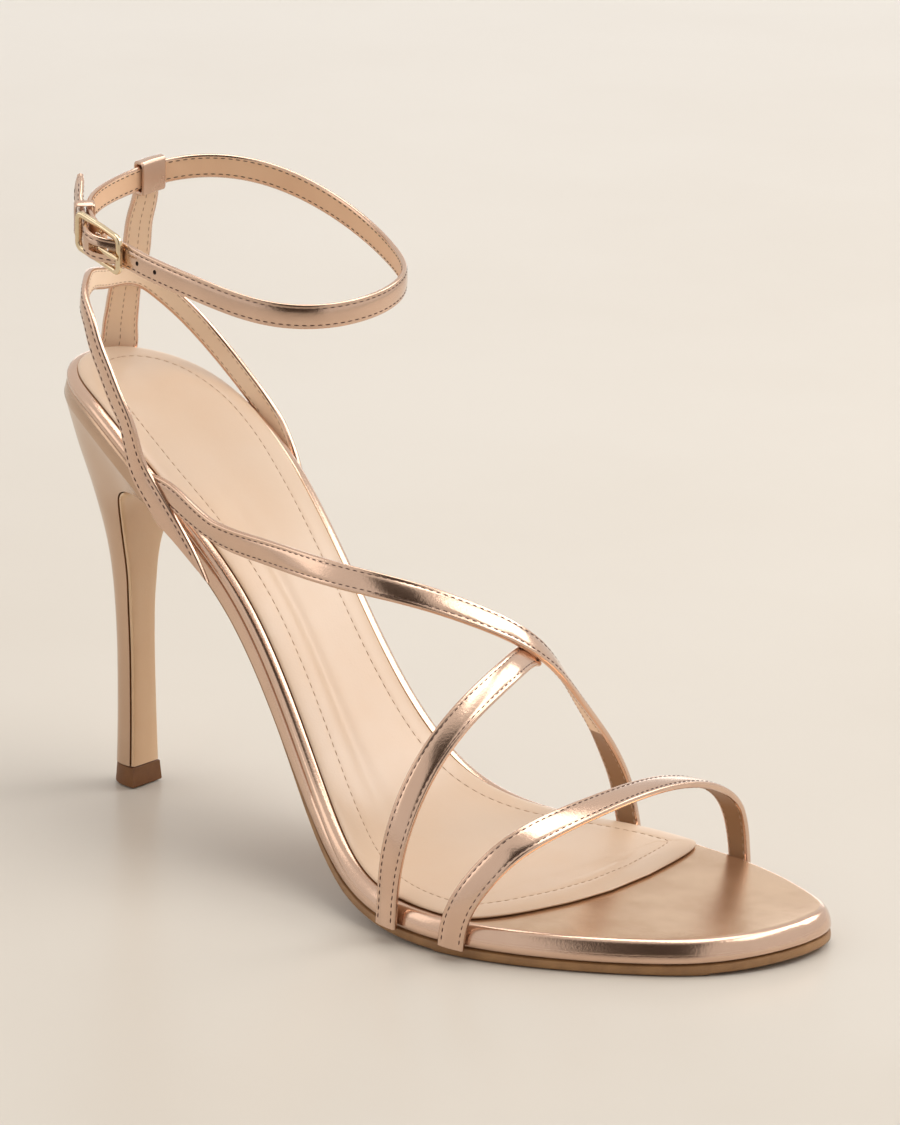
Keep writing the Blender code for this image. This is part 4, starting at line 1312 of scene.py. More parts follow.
STRAPS = (
    Strap("toe_band", (6.6, 6.4),
          (Side.LATERAL, ((155.0, 5.4), (155.2, 2.5), (155.8, -1.0))),
          ((161.0, -44.4, 19.2), (165.0, -40.4, 25.1), (169.0, -31.0, 29.6), (172.0, -17.0, 32.0),
           (173.0, -2.0, 32.4), (172.8, 14.0, 30.4), (173.0, 26.5, 26.2), (173.0, 35.0, 19.0)),
          (Side.MEDIAL, ((173.6, -1.0), (174.0, 2.5), (174.2, 5.4))), ("toe_strap",)),
    Strap("long_band", (6.0, 6.0),
          (Side.LATERAL, ((42.6, 2.0), (46.6, -1.0))),
          ((66.0, -26.6, 78.2), (82.0, -27.2, 76.4), (99.0, -28.3, 75.6), (111.0, -26.2, 74.5),
           (121.5, -20.6, 72.3), (130.3, -12.4, 68.2), (137.0, -4.6, 63.4), (140.2, 3.4, 57.4),
           (140.2, 14.4, 46.8), (138.8, 23.0, 38.3), (138.2, 30.0, 30.4), (138.6, 34.2, 23.6),
           (139.8, 36.6, 16.8)),
          (Side.MEDIAL, ((142.2, -2.0), (143.2, 2.5), (143.6, 5.4))), ("upper",), lift=(-0.5, 0.0)),
    Strap("cross_band", (6.4, 6.0),
          (Side.LATERAL, ((137.5, 5.4), (137.4, 2.5), (137.3, -1.0))),
          ((138.6, -47.6, 21.5), (140.0, -45.0, 31.2), (141.6, -40.8, 39.6), (142.8, -34.5, 46.4),
           (143.6, -27.6, 51.2), (143.9, -20.2, 54.6), (143.2, -12.0, 57.0), (141.8, -4.6, 58.2),
           (140.4, 1.6, 57.8), (140.1, 2.8, 57.4)),
          lift=(0.0, -1.7)),
    Strap("sling_band", (6.4, 5.4, 5.5, 4.8),
          (Side.LATERAL, ((70.0, 8.6), (66.0, 7.2), (62.0, 5.7), (57.0, 4.1), (51.5, 2.6), (46.4, 1.2),
                          (41.2, -0.6))),
          ((38.7, -25.8, 98.6), (36.1, -26.6, 104.1), (32.0, -26.2, 110.7), (27.9, -25.4, 117.0),
           (25.0, -24.0, 121.0), (21.1, -21.5, 124.3), (17.4, -17.0, 126.4), (13.6, -11.0, 127.2),
           (10.9, -4.0, 126.0), (9.4, 1.6, 125.3), (8.9, 6.0, 124.9), (9.1, 9.2, 124.4),
           (9.9, 12.4, 123.2), (11.6, 16.2, 120.2), (15.6, 20.8, 114.6), (21.4, 24.6, 107.3),
           (28.8, 26.3, 99.8), (33.5, 27.0, 95.1)),
          (Side.MEDIAL, ((38.6, 0.0), (43.2, 1.4), (47.8, 3.4), (52.4, 6.2), (56.5, 9.0))),
          trimmed=True, sideways=3.0, lift=(0.7, 0.0), lift_hold=40.0),
    Strap("back_stay_band", (10.2, 6.0),
          (Side.MEDIAL, ((1.8, 5.4), (1.8, 3.0), (1.8, -0.6))),
          ((0.7, 13.8, 108.9), (2.5, 12.4, 113.8), (4.8, 10.8, 119.6), (7.7, 9.4, 125.5),
           (10.7, 8.2, 130.6), (12.9, 7.0, 138.5)),
          to_tunnel=True, sideways=3.2),
)
FOOT_AXIS = ((205.0, 6.0, 9.0), (170.0, 1.0, 11.0), (140.0, 0.0, 20.0), (112.0, -1.0, 45.0),
             (82.0, 0.0, 74.0), (58.0, 0.0, 108.0), (52.0, 0.0, 150.0), (52.0, 0.0, 200.0))


class TailRow(NamedTuple):
    """Place of the strap's tail past the bar, its offset from the ring and its rise, in mm."""

    past_bar: float
    offset: float
    rise: float = 0.0


class ProngSlot(NamedTuple):
    """Slot for the prong: its ends along the ring, its lower and upper offset and its width, in mm."""

    first: float
    last: float
    low: float
    high: float
    width: float


@dataclass
class AnkleRing:
    """Ring that the ankle strap follows, from the buckle's bar over the back and round the foot."""

    rows: tuple = (
        (33.3, -27.5, 142.0), (28.0, -25.9, 144.0), (22.6, -21.6, 146.3), (18.6, -14.0, 147.9),
        (16.7, -4.0, 149.2), (18.6, 7.6, 151.2), (25.6, 16.6, 152.5), (37.0, 23.9, 151.4),
        (52.0, 27.4, 147.2), (67.0, 26.4, 141.9), (81.0, 20.8, 137.6), (91.6, 11.2, 135.4),
        (95.6, -2.4, 133.3), (91.0, -15.4, 131.6), (80.0, -24.4, 132.0), (64.0, -29.4, 135.6),
        (48.0, -29.4, 138.5))
    overlap: int = 3
    samples: int = 1440
    facing_reach: float = 1.5

    @cached_property
    def track(self) -> tuple[np.ndarray, np.ndarray]:
        """Closed path of the ring.

        Returns:
            Its points and the run at each.
        """
        rows = np.array(self.rows[-self.overlap:] + self.rows + self.rows[:self.overlap + 1])
        knots = run_of(rows)
        ends = knots[self.overlap], knots[self.overlap + len(self.rows)]
        points = spline(knots, rows)(np.linspace(*ends, self.samples + 1))
        return points, run_of(points)

    @property
    def girth(self) -> float:
        """Length round the ring."""
        return float(self.track[1][-1])

    def at(self, place: float | np.ndarray) -> np.ndarray:
        """Points of the ring.

        Args:
            place: Places along the ring, counted on past the girth.

        Returns:
            One point for each place.
        """
        points, run = self.track
        where = np.mod(np.atleast_1d(np.asarray(place, float)), self.girth)
        return np.column_stack([np.interp(where, run, points[:, k]) for k in range(3)])

    def outward(self, place: float | np.ndarray) -> np.ndarray:
        """Level outward directions."""
        run = self.at(np.asarray(place) + self.facing_reach) - self.at(np.asarray(place) - self.facing_reach)
        return unit(np.column_stack([-run[:, 1], run[:, 0], 0 * run[:, 0]]))

    def spot(self, place: float | np.ndarray, offset: float | np.ndarray = 0.0,
             rise: float | np.ndarray = 0.0) -> np.ndarray:
        """Points off the ring.

        Args:
            place: Places along the ring.
            offset: Distance outward, one for all or one for each place.
            rise: Distance up, in the same way.

        Returns:
            One point for each place.
        """
        place = np.atleast_1d(np.asarray(place, float))
        shift = np.broadcast_to(np.asarray(offset, float), len(place))[:, None]
        lift = np.broadcast_to(np.asarray(rise, float), len(place))[:, None]
        return self.at(place) + self.outward(place) * shift + UP * lift


@dataclass(frozen=True)
class LeatherLoop:
    """Short closed band round the ankle strap; offsets bound the room inside, in mm from the ring."""

    name: str
    place: float
    length: float
    inner: float
    outer: float
    half: float
    wall: float
    edge: float = 0.25
    swell: float = 0.08
    corner: float = 0.4
    corner_share: float = 0.7
    corner_steps: int = 6
    foot_side: tuple[int, int] = (8, 14)

    def rim(self, grow: float) -> list[tuple[float, float]]:
        """Rounded outline, grown from the room inside.

        Args:
            grow: Distance out from the room.

        Returns:
            Pairs of offset and rise.
        """
        corner = self.corner + grow * self.corner_share
        a, b = self.inner - grow + corner, self.outer + grow - corner
        h = self.half + grow - corner
        spots = []
        for x, y, first in ((b, h, 0), (a, h, 90), (a, -h, 180), (b, -h, 270)):
            for turn in np.radians(first + np.linspace(0, 90, self.corner_steps)):
                spots.append((x + corner * math.cos(turn), y + corner * math.sin(turn)))
        return spots

    def make(self, ring: AnkleRing, looks: Sequence[bpy.types.Material]) -> bpy.types.Object:
        """Make the band.

        Args:
            ring: Ring that the strap follows.
            looks: Its materials, the second for the side next to the foot.

        Returns:
            The band, not yet joined to the frame.
        """
        end, wall, edge = self.length / 2, self.wall, self.edge
        profile = (
            (-end + edge, 0.0), (end - edge, 0.0), (end, edge), (end, wall - edge), (end - edge, wall),
            (0.0, wall + self.swell), (-end + edge, wall), (-end, wall - edge), (-end, edge))
        loops = [[ring.spot(self.place + shift, o, r)[0] for o, r in self.rim(grow)]
                 for shift, grow in profile]
        draft = Draft()
        index = draft.grid(np.array(loops))
        column = np.arange(index.shape[1])
        first, last = self.foot_side
        inside = (len(looks) > 1) & (column >= first) & (column <= last)
        draft.skin(np.vstack([index, index[:1]]), inside.astype(int), wrap=True)
        return draft.make(self.name, looks)


@dataclass
class Upper:
    """Straps of the upper and the tunnel that holds the ankle strap."""

    last: Last
    looks: Finishes
    sewing: StitchTree
    ring: AnkleRing
    section: StrapSection = StrapSection()
    tunnel: LeatherLoop = LeatherLoop("tunnel_loop", 42.0, 7.0, -1.05, 1.05, 3.25, 0.85)
    step: float = 1.0
    axis_step: float = 2.0
    rim_reach: float = 2.1
    stay_sink: float = 0.12
    stay_drop: float = 1.0
    stay_reach: float = 3.2
    trim_along: tuple = (40.0, 49.0, 55.0, 72.0)
    trim_depth: tuple = (6.2, 5.3, 4.5, 3.4)
    trim_drop: float = 14.0
    trim_reach: tuple = (-3.0, 6.0)
    trim_stations: int = 40
    seam_margin: float = 0.7
    seam_short: int = 2

    def build(self) -> None:
        """Make every strap, its seams and the tunnel."""
        outside: list[np.ndarray] = []
        inside: list[np.ndarray] = []
        for strap in STRAPS:
            run = self.run_of_strap(strap)
            made = sweep(strap.name, run, self.section, (self.looks.foil, self.looks.lining))
            if strap.trimmed:
                cut_away(made, [self.trim_tool(side) for side in Side])
            settle(made, Slot.FOIL, *strap.nodes)
            outside += [self.sewn_part(strap, line) for line in seam_lines(run, self.section, True)]
            inside += [self.sewn_part(strap, line) for line in seam_lines(run, self.section, False)]
            if strap.to_tunnel:
                inside.append(run.line(0.0, -self.section.thick / 2 - self.section.thread_sink))
        self.sewing.seam("strap_seams", outside, self.looks.thread, Slot.FOIL)
        self.sewing.seam("lining_seams", inside, self.looks.pale_thread, Slot.FOIL)
        settle(self.tunnel.make(self.ring, (self.looks.foil, self.looks.keeper)), Slot.FOIL)

    @property
    def trim_places(self) -> np.ndarray:
        """Distances along at which the trim is worked out."""
        return np.linspace(self.trim_along[0], self.trim_along[-1], self.trim_stations)

    def trim_top(self, along: float | np.ndarray) -> float | np.ndarray:
        """Depth at which slanting straps are trimmed along the bottom of the wall."""
        return np.interp(along, self.trim_along, self.trim_depth)

    def trim_tool(self, side: Side) -> bpy.types.Object:
        """Block that cuts a slanting strap off along the bottom of the wall.

        Args:
            side: Side of the foot.

        Returns:
            The block.
        """
        loops = []
        for along in self.trim_places:
            top = float(self.trim_top(along))
            depths = ((along, top), (along, top + self.trim_drop))
            feet, facing = self.last.rim_feet(side, depths, self.rim_reach)
            near, far = (facing[0] * reach for reach in self.trim_reach)
            loops.append([feet[0] + near, feet[0] + far, feet[1] + far, feet[1] + near])
        draft = Draft()
        draft.body(loops)
        return draft.make("trim", ())

    def sewn_part(self, strap: Strap, line: np.ndarray) -> np.ndarray:
        """Part of a stitch line that lies above the trim.

        Args:
            strap: The strap.
            line: Its stitch line.

        Returns:
            The points that are sewn.
        """
        if not strap.trimmed:
            return line[self.seam_short:-self.seam_short]
        along = self.trim_places
        kept = np.full(len(line), True)
        for side in Side:
            feet = np.array(self.last.rim_feet(side, [(a, 0.0) for a in along], self.rim_reach)[0])
            near = np.argmin(np.linalg.norm(line[:, None] - feet[None], axis=2), axis=1)
            depth = ((feet[near] - line) * self.last.upward(along)[near]).sum(axis=1)
            kept &= depth < self.trim_top(along[near]) - self.seam_margin
        return line[kept]

    def facing_away(self, points: Sequence, sideways: float) -> list[np.ndarray]:
        """Directions away from the axis of the foot.

        Args:
            points: Points on a strap.
            sideways: Factor across, which turns the directions sideways.

        Returns:
            One direction for each point.
        """
        axis, _ = even_path(np.array(FOOT_AXIS), self.axis_step)
        nearest = [axis[np.argmin(np.linalg.norm(axis - p, axis=1))] for p in points]
        return list(unit((np.asarray(points) - np.array(nearest)) * (1.0, sideways, 1.0)))

    def tunnel_feet(self) -> list[tuple]:
        """Upper end of the back stay.

        Returns:
            Its last two points, on the outer wall of the tunnel.
        """
        outer = self.tunnel.outer + self.section.thick / 2 + self.stay_sink
        rises = (-self.tunnel.half - self.stay_drop, -self.tunnel.half + self.stay_reach)
        return [tuple(self.ring.spot(self.tunnel.place, outer, rise)[0]) for rise in rises]

    def run_of_strap(self, strap: Strap) -> StrapRun:
        """Path of a strap from rim to rim or rim to tunnel.

        Args:
            strap: The strap.

        Returns:
            Its path, facing and widths.
        """
        rows = list(strap.rows)
        if strap.to_tunnel:
            rows += self.tunnel_feet()
        facing = self.facing_away(rows, strap.sideways)
        feet, turned = self.last.rim_feet(*strap.start, self.rim_reach)
        if strap.to_tunnel:
            turned = facing[:1] * len(feet)
        rows, facing = feet + rows, turned + facing
        if strap.end:
            feet, turned = self.last.rim_feet(*strap.end, self.rim_reach)
            if strap.trimmed:
                turned[0] = unit(turned[0] + facing[-1])
            rows, facing = rows + feet, facing + turned
        path, share = even_path(np.array(rows), self.step)
        knots = np.linspace(0, 1, len(rows))
        aim = np.column_stack([np.interp(share, knots, np.array(facing)[:, k]) for k in range(3)])
        outward = square_to(aim, tangents_of(path))
        run = run_of(path)
        for away, lift in zip((run, run[-1] - run), strap.lift):
            near = soft_step(np.clip(1 - (away - strap.lift_hold) / strap.lift_fade, 0, 1))
            path = path + outward * (near * lift)[:, None]
        tangent = tangents_of(path)
        outward = square_to(outward, tangent)
        widths = np.interp(share, np.linspace(0, 1, len(strap.widths)), strap.widths)
        return StrapRun(path, unit(np.cross(tangent, outward)), outward, widths, np.ones(len(path)))


@dataclass(frozen=True)
class BuckleSizes:
    """Sizes that the ankle strap and its buckle share; places are along the ring from the bar."""

    wire: float = 0.75
    bar: float = 0.6
    back: float = 6.2
    front: float = -7.4
    half: float = 4.05
    bar_offset: float = 1.7
    front_offset: float = 1.8
    back_offset: float = 3.6
    hook_radius: float = 1.45
    prong_width: float = 1.4
    prong_thick: float = 1.1
    prong_overhang: float = 1.35
    gap: float = 0.3


@dataclass
class AnkleStrap:
    """Ankle strap with its fold, holes and tail, and its keeper."""

    looks: Finishes
    sewing: StitchTree
    ring: AnkleRing
    buckle: BuckleSizes = BuckleSizes()
    section: StrapSection = StrapSection(1.4, 0.34, 0.34, 0.95, 0.08, 0.5, 0.12)
    width: float = 5.8
    fold_thick: float = 0.8
    fold_radius: float = 1.35
    fold_turn: tuple[float, float] = (100.0, -90.0)
    fold_steps: int = 28
    plain_start: float = 2.6
    plain_steps: int = 190
    tail_steps: int = 70
    over_offset: float = 4.7
    tail_offset: float = 1.75
    tail_turn: float = 42.0
    turn_run: float = 9.0
    tip_run: float = 8.5
    tip_power: float = 1.5
    tip_least: float = 0.08
    seam_start: int = 32
    seam_short: int = 5
    hole_radius: float = 0.55
    hole_depth: float = 6.0
    hole_sides: int = 20
    hole_places: tuple = (-12.4, -18.4)
    slots: tuple[ProngSlot, ...] = (
        ProngSlot(-4.6, -0.6, 0.9, 6.7, 1.7), ProngSlot(-2.4, 2.5, -1.0, 3.9, 1.9))
    keeper_place: float = 10.8
    keeper_length: float = 2.5
    keeper_wall: float = 0.45
    keeper_room: float = 0.25
    keeper_side: float = 0.15

    def tail(self) -> tuple[TailRow, ...]:
        """Way of the tail over the bar and back to the strap.

        Returns:
            Rows from the plain strap to the tip.
        """
        front, back, over, low = self.buckle.front, self.buckle.back, self.over_offset, self.tail_offset
        return (
            TailRow(front - 6.0, 0.0), TailRow(front, 0.0), TailRow(front + 1.2, 0.35),
            TailRow(-1.8, over - 0.35), TailRow(0.0, over), TailRow(1.8, over - 0.3),
            TailRow(4.6, low + 0.75), TailRow(back, low + 0.1), TailRow(9.5, low),
            TailRow(13.5, low + 0.15, 0.3), TailRow(17.5, low + 1.4, 2.2), TailRow(21.5, low + 2.5, 5.6))

    def path(self) -> np.ndarray:
        """Middle of the strap from the fold at the bar, round the ankle and out to the tail.

        Returns:
            Points of the path.
        """
        turns = np.radians(np.linspace(*self.fold_turn, self.fold_steps))
        offset = self.buckle.bar_offset + self.fold_radius * np.sin(turns)
        fold = self.ring.spot(-self.fold_radius * np.cos(turns), offset)
        past, *shape = columns(self.tail())
        plain = np.linspace(self.plain_start, self.ring.girth + past[0], self.plain_steps)
        places = np.linspace(past[0], past[-1], self.tail_steps)[1:]
        offset, rise = spline(past, np.column_stack(shape))(places).T
        return np.vstack([fold, self.ring.spot(plain),
                          self.ring.spot(self.ring.girth + places, offset, rise)])

    def laid(self) -> StrapRun:
        """Strap along its path, thin at the fold, turned and pointed at the tail.

        Returns:
            Its path, facing, widths and shares of full thickness.
        """
        path = self.path()
        tangent = tangents_of(path)
        outward = unit(np.cross(UP, tangent))
        left = run_of(path)[-1] - run_of(path)
        turn = np.radians(self.tail_turn) * np.clip(1 - left / self.turn_run, 0, 1)[:, None]
        outward = outward * np.cos(turn) + np.cross(tangent, outward) * np.sin(turn)
        tip = np.clip(1 - left / self.tip_run, 0, 1)
        widths = self.width * np.sqrt(np.clip(1 - tip ** self.tip_power, self.tip_least, 1))
        folded = np.arange(len(path)) < self.fold_steps
        shares = np.where(folded, self.fold_thick / self.section.thick, 1.0)
        return StrapRun(path, unit(np.cross(tangent, outward)), outward, widths, shares)

    def build(self) -> None:
        """Make the strap, cut its holes, sew it and add the keeper."""
        laid = self.laid()
        strap = sweep("ankle_band", laid, self.section, (self.looks.foil, self.looks.ankle_lining))
        cut_away(strap, self.holes() + self.prong_slots())
        settle(strap, Slot.FOIL, "ankle_strap")
        sewn = StrapRun(*(part[self.seam_start:-self.seam_short] for part in laid))
        for name, outside in (("ankle_seams", True), ("ankle_lining_seams", False)):
            self.sewing.seam(name, seam_lines(sewn, self.section, outside), self.looks.thread, Slot.FOIL)
        self.build_keeper()

    def build_keeper(self) -> None:
        """Keeper loop round the strap and its tail."""
        clear = self.section.thick / 2 + self.buckle.gap
        keeper = LeatherLoop(
            "keeper_loop", self.keeper_place, self.keeper_length, -clear,
            self.tail_offset + clear + self.keeper_room,
            self.width / 2 + self.buckle.gap + self.keeper_side, self.keeper_wall)
        settle(keeper.make(self.ring, (self.looks.keeper,)), Slot.KEEPER, "keeper")

    def holes(self) -> list[bpy.types.Object]:
        """Punches for the round holes.

        Returns:
            One cylinder for each hole, carrying the near-black painted shade of the hole walls.
        """
        tools = []
        radius = self.hole_radius * MM
        for place in self.hole_places:
            spot = (self.ring.spot(place)[0] - ORIGIN) * MM
            facing = Vector(self.ring.outward(place)[0]).to_track_quat("Z", "Y").to_matrix().to_4x4()
            box = bmesh.new()
            bmesh.ops.create_cone(
                box, cap_ends=True, segments=self.hole_sides, radius1=radius, radius2=radius,
                depth=self.hole_depth * MM, matrix=Matrix.Translation(spot.tolist()) @ facing)
            mesh = bpy.data.meshes.new("hole")
            box.to_mesh(mesh)
            box.free()
            # The cut faces of the holes take this near-black painted shade.
            mesh.materials.append(self.looks.cut)
            tool = bpy.data.objects.new("hole", mesh)
            bpy.context.scene.collection.objects.link(tool)
            tools.append(tool)
        return tools

    def prong_slots(self) -> list[bpy.types.Object]:
        """Punches for the slots that the prong passes.

        Returns:
            One block for each slot.
        """
        tools = []
        for first, last, low, high, width in self.slots:
            half = width / 2
            corners = ((low, -half), (high, -half), (high, half), (low, half))
            draft = Draft()
            draft.body([[self.ring.spot(place, o, r)[0] for o, r in corners] for place in (first, last)])
            tools.append(draft.make("prong_slot", ()))
        return tools


@dataclass
class Buckle:
    """Wire frame with a bar across it, and the prong hooked on the bar."""

    looks: Finishes
    ring: AnkleRing
    sizes: BuckleSizes = BuckleSizes()
    corner: float = 1.6
    corner_steps: int = 12
    bar_steps: int = 12
    wire_sides: int = 18
    wire_power: float = 0.75
    hook_turn: tuple[float, float] = (-160.0, 110.0)
    hook_steps: int = 40
    prong_start: float = -2.0
    prong_steps: int = 24
    taper_places: tuple[int, int] = (3, 9)
    taper: tuple = (0.5, 1.0, 0.9, 0.4)

    def build(self) -> None:
        """Make frame, bar and prong."""
        self.build_frame()
        self.build_prong()

    def rounded(self, turns: np.ndarray) -> np.ndarray:
        """Section of a wire, between round and square."""
        circle = np.column_stack([np.cos(turns), np.sin(turns)])
        return np.sign(circle) * np.abs(circle) ** self.wire_power

    def wire(self, name: str, path: np.ndarray, face: np.ndarray, sizes: np.ndarray, closed: bool,
             *nodes: str) -> None:
        """Rounded wire along a path.

        Args:
            name: Name of the piece.
            path: Points of the path.
            face: Way that the wire faces at each point.
            sizes: Half width and half thickness at each point.
            closed: Whether the path runs back to its start.
            nodes: CAD nodes that the wire stands for.
        """
        ahead = np.roll(path, -1, axis=0) - np.roll(path, 1, axis=0)
        side = unit(np.cross(unit(ahead) if closed else tangents_of(path), face))
        section = self.rounded(np.linspace(0, 2 * math.pi, self.wire_sides, endpoint=False))
        loops = [[place + across * wide * u + out * tall * v for u, v in section]
                 for place, across, out, (wide, tall) in zip(path, side, face, sizes)]
        draft = Draft()
        if closed:
            index = draft.grid(np.array(loops))
            draft.skin(np.vstack([index, index[:1]]), 0, wrap=True)
        else:
            draft.body(loops)
        settle(draft.make(name, (self.looks.gold,)), Slot.BUCKLE, *nodes)

    def build_frame(self) -> None:
        """Frame with rounded corners and a bar across its middle."""
        s = self.sizes
        ends = ((s.back, s.back_offset, -1), (s.back, s.back_offset, 1), (0.0, s.bar_offset, 1),
                (s.front, s.front_offset, 1), (s.front, s.front_offset, -1), (0.0, s.bar_offset, -1))
        corners = np.array([self.ring.spot(place, offset, sign * s.half)[0] for place, offset, sign in ends])
        path = []
        for k, corner in enumerate(corners):
            before = unit(corners[k - 1] - corner)
            after = unit(corners[(k + 1) % len(corners)] - corner)
            for share in np.linspace(0, 1, self.corner_steps):
                a = corner + before * self.corner * (1 - share)
                b = corner + after * self.corner * share
                path.append(a * (1 - share) + b * share)
        face = unit(np.cross(corners[1] - corners[0], corners[2] - corners[1]))
        bar = np.linspace(corners[2], corners[5], self.bar_steps)
        for name, points, thick, closed, nodes in (
                ("frame_wire", np.array(path), s.wire, True, ("buckle_frame",)),
                ("frame_bar", bar, s.bar, False, ())):
            faces = np.tile(face, (len(points), 1))
            self.wire(name, points, faces, np.full((len(points), 2), thick), closed, *nodes)

    def build_prong(self) -> None:
        """Prong from its hook round the bar to its tip over the frame's end."""
        s = self.sizes
        turns = np.radians(np.linspace(*self.hook_turn, self.hook_steps))
        places = np.linspace(self.prong_start, s.front - s.prong_overhang, self.prong_steps)
        rest = s.front_offset + s.wire + s.gap + s.prong_thick / 2
        offset = s.bar_offset + s.hook_radius * np.sin(turns)
        hook = self.ring.spot(s.hook_radius * np.cos(turns), offset)
        path = np.vstack([hook, self.ring.spot(places, rest)])
        face = unit(np.cross(tangents_of(path), UP))
        root, tip = self.taper_places
        at = (0, root, len(path) - tip, len(path) - 1)
        taper = np.interp(np.arange(len(path)), at, self.taper)
        sizes = np.column_stack([taper * s.prong_width / 2, taper * s.prong_thick / 2])
        self.wire("prong_bar", path, face, sizes, False, "buckle_prong")


class Panel(NamedTuple):
    """One soft light: its place and size in metres, power and colour."""

    name: str
    place: tuple[float, float, float]
    size: tuple[float, float]
    power: float
    colour: Colour


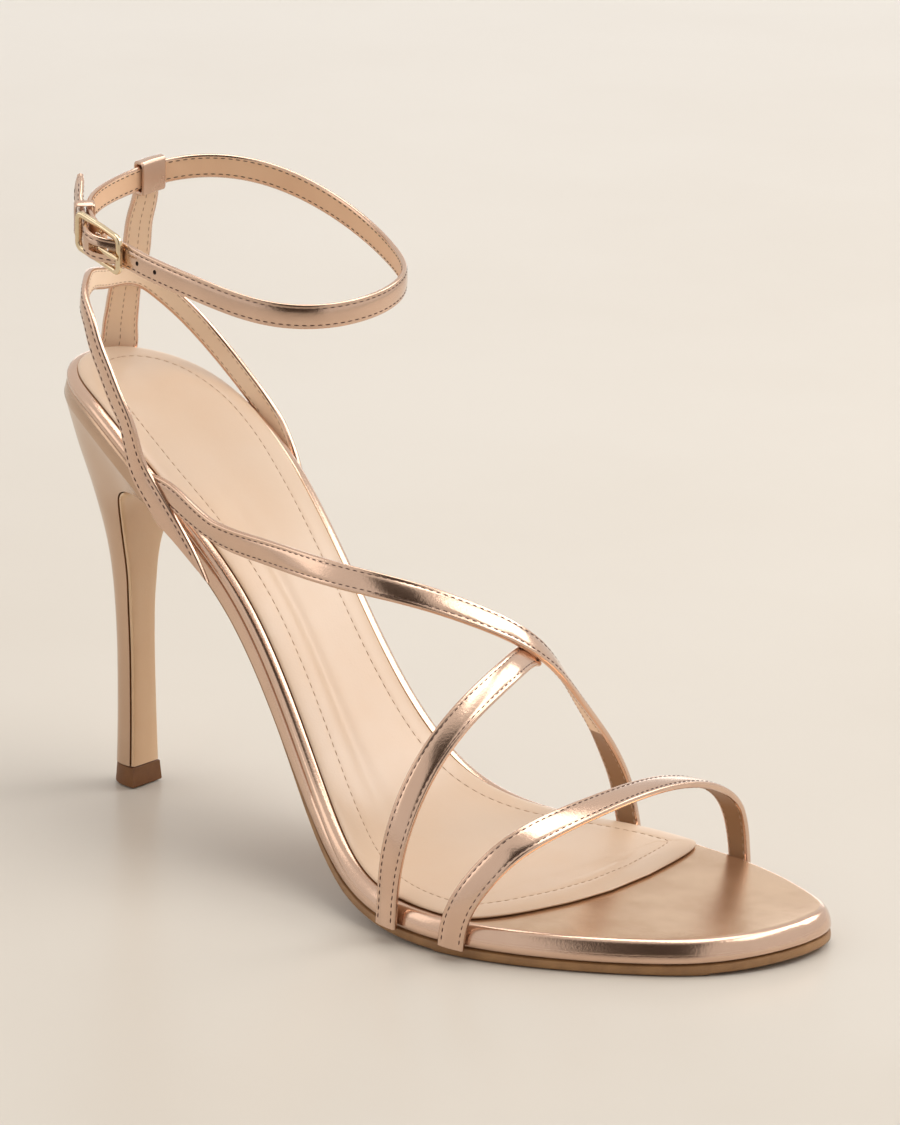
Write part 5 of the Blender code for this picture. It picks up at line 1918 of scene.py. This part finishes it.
@dataclass
class Studio:
    """Pale floor, soft light and the camera at the photo's angle."""

    azimuth: float = 36.446
    elevation: float = 14.943
    roll: float = 1.645
    distance: float = 1222.98
    slide: tuple[float, float] = (-48.379, -31.792)
    look_at: tuple[float, float, float] = (100.0, 0.0, 60.0)
    focal_px: float = 3494.05
    image_centre: tuple[float, float] = (450.0, 562.5)
    crop_centre: tuple[float, float] = (345.0, 618.0)
    crop_width: float = 600.0
    sensor: float = 36.0
    clip: tuple[float, float] = (0.05, 50.0)
    floor_size: float = 6.0
    floor_drop: float = -0.0003
    floor_tones: tuple[Colour, Colour] = ((0.66, 0.615, 0.555), (0.63, 0.58, 0.515))
    floor_cloud: tuple[float, float, float] = (0.25, 4.0, 0.55)
    floor_fade: tuple[float, float] = (0.3, 0.75)
    floor_rough: float = 0.28
    floor_shine: float = 0.18
    room_colour: Colour = (1.0, 0.955, 0.9)
    screen_colour: Colour = (0.05, 0.032, 0.022)
    room_strength: float = 0.78
    screen_turn: tuple[float, float] = (0.8, 0.6)
    screen_front: tuple[float, float] = (0.35, 0.55)
    screen_left: tuple[float, float] = (-0.36, -0.18)
    screen_right: tuple[float, float] = (0.28, 0.42)
    aim: tuple[float, float, float] = (0.0, 0.0, 0.06)
    panels: tuple[Panel, ...] = (
        Panel("window", (0.55, 1.15, 0.85), (0.7, 0.5), 3.6, (1.0, 0.98, 0.95)),
        Panel("overhead", (0.05, 0.3, 1.45), (1.2, 0.7), 7.0, (1.0, 0.98, 0.95)),
        Panel("right", (0.75, 0.5, 1.0), (1.1, 0.4), 4.0, (1.0, 0.98, 0.95)),
        Panel("low_glow", (-2.3, 3.3, 0.4), (2.6, 0.5), 6.0, (1.0, 0.98, 0.95)),
        Panel("fill", (-0.9, -0.9, 0.7), (0.8, 0.8), 1.5, (1.0, 0.95, 0.9)),
    )

    def build(self) -> None:
        """Make floor, lights, world and camera."""
        bpy.context.scene.view_settings.view_transform = "Standard"
        self.build_floor()
        self.build_world()
        for panel in self.panels:
            self.build_panel(panel)
        self.build_camera()

    def build_floor(self) -> None:
        """Plain pale floor with a faint polish."""
        look = bpy.data.materials.new("pale_floor")
        tree = ShaderTree(look)
        cloud = tree.noise(*self.floor_cloud).fade(*self.floor_fade)
        tree.feed(look.node_tree.nodes["Principled BSDF"], {
            "Base Color": tree.blend(cloud, *self.floor_tones),
            "Roughness": self.floor_rough,
            "Specular IOR Level": self.floor_shine,
        })
        mesh = bpy.data.meshes.new("floor")
        signs = ((-1, -1), (1, -1), (1, 1), (-1, 1))
        corners = [(x * self.floor_size, y * self.floor_size, self.floor_drop) for x, y in signs]
        mesh.from_pydata(corners, [], [(0, 1, 2, 3)])
        mesh.materials.append(look)
        floor = bpy.data.objects.new("floor", mesh)
        bpy.context.scene.collection.objects.link(floor)

    def build_world(self) -> None:
        """Warm pale room with a dark screen behind the camera."""
        world = bpy.data.worlds.new("room")
        bpy.context.scene.world = world
        tree = ShaderTree(world)
        spread = tree.tree.nodes.new("ShaderNodeSeparateXYZ")
        tree.feed(spread, {0: tree.node("ShaderNodeTexCoord", output="Generated")})
        x, y = (Wire(tree, spread.outputs[k]) for k in range(2))
        across, along = self.screen_turn
        aside = x * across + y * along
        ahead = (x * along - y * across).fade(*self.screen_front)
        screen = aside.fade(*self.screen_left) * aside.fade(*self.screen_right, 1.0, 0.0) * ahead
        colour = tree.blend(screen, self.room_colour, self.screen_colour)
        tree.feed(tree.tree.nodes["Background"], {"Color": colour, "Strength": self.room_strength})

    def build_panel(self, panel: Panel) -> None:
        """Soft light aimed at the middle of the shoe.

        Args:
            panel: Its place, size, power and colour.
        """
        data = bpy.data.lights.new(panel.name, "AREA")
        data.shape = "RECTANGLE"
        data.size, data.size_y = panel.size
        data.energy = panel.power
        data.color = panel.colour
        light = bpy.data.objects.new(panel.name, data)
        light.location = panel.place
        light.rotation_mode = "QUATERNION"
        light.rotation_quaternion = (Vector(self.aim) - light.location).to_track_quat("-Z", "Y")
        bpy.context.scene.collection.objects.link(light)

    def build_camera(self) -> None:
        """Camera with the photo's eye and angle, turned to frame the one shoe."""
        a, e, r = (math.radians(v) for v in (self.azimuth, self.elevation, self.roll))
        right = Vector((math.cos(a), math.sin(a), 0.0))
        back = Vector((math.sin(a) * math.cos(e), -math.cos(a) * math.cos(e), math.sin(e)))
        up = back.cross(right)
        eye = Vector(self.look_at) - right * self.slide[0] - up * self.slide[1] + back * self.distance
        right, up = right * math.cos(r) + up * math.sin(r), up * math.cos(r) - right * math.sin(r)
        shift = [c - m for c, m in zip(self.crop_centre, self.image_centre)]
        ahead = (right * shift[0] - up * shift[1] - back * self.focal_px).normalized()
        side = (right - ahead * right.dot(ahead)).normalized()
        axes = Matrix((side, -ahead.cross(side), -ahead)).transposed()
        data = bpy.data.cameras.new("camera")
        data.sensor_fit = "HORIZONTAL"
        data.sensor_width = self.sensor
        data.lens = self.sensor * self.focal_px / self.crop_width
        data.clip_start, data.clip_end = self.clip
        camera = bpy.data.objects.new("camera", data)
        camera.rotation_mode = "QUATERNION"
        camera.location = (eye - Vector(ORIGIN.tolist())) * MM
        camera.rotation_quaternion = axes.to_quaternion()
        bpy.context.scene.collection.objects.link(camera)
        bpy.context.scene.camera = camera


def main() -> None:
    """Build and dress the sandal, then its studio."""
    logging.basicConfig(level=logging.INFO, format="%(name)s: %(message)s")
    last, looks, sewing, ring = Last(), Finishes(), StitchTree(), AnkleRing()
    SoleUnit(last, looks, sewing).build()
    Heel(last, looks).build()
    Upper(last, looks, sewing, ring).build()
    AnkleStrap(looks, sewing, ring).build()
    Buckle(looks, ring).build()
    Studio().build()


if __name__ == "__main__":
    main()
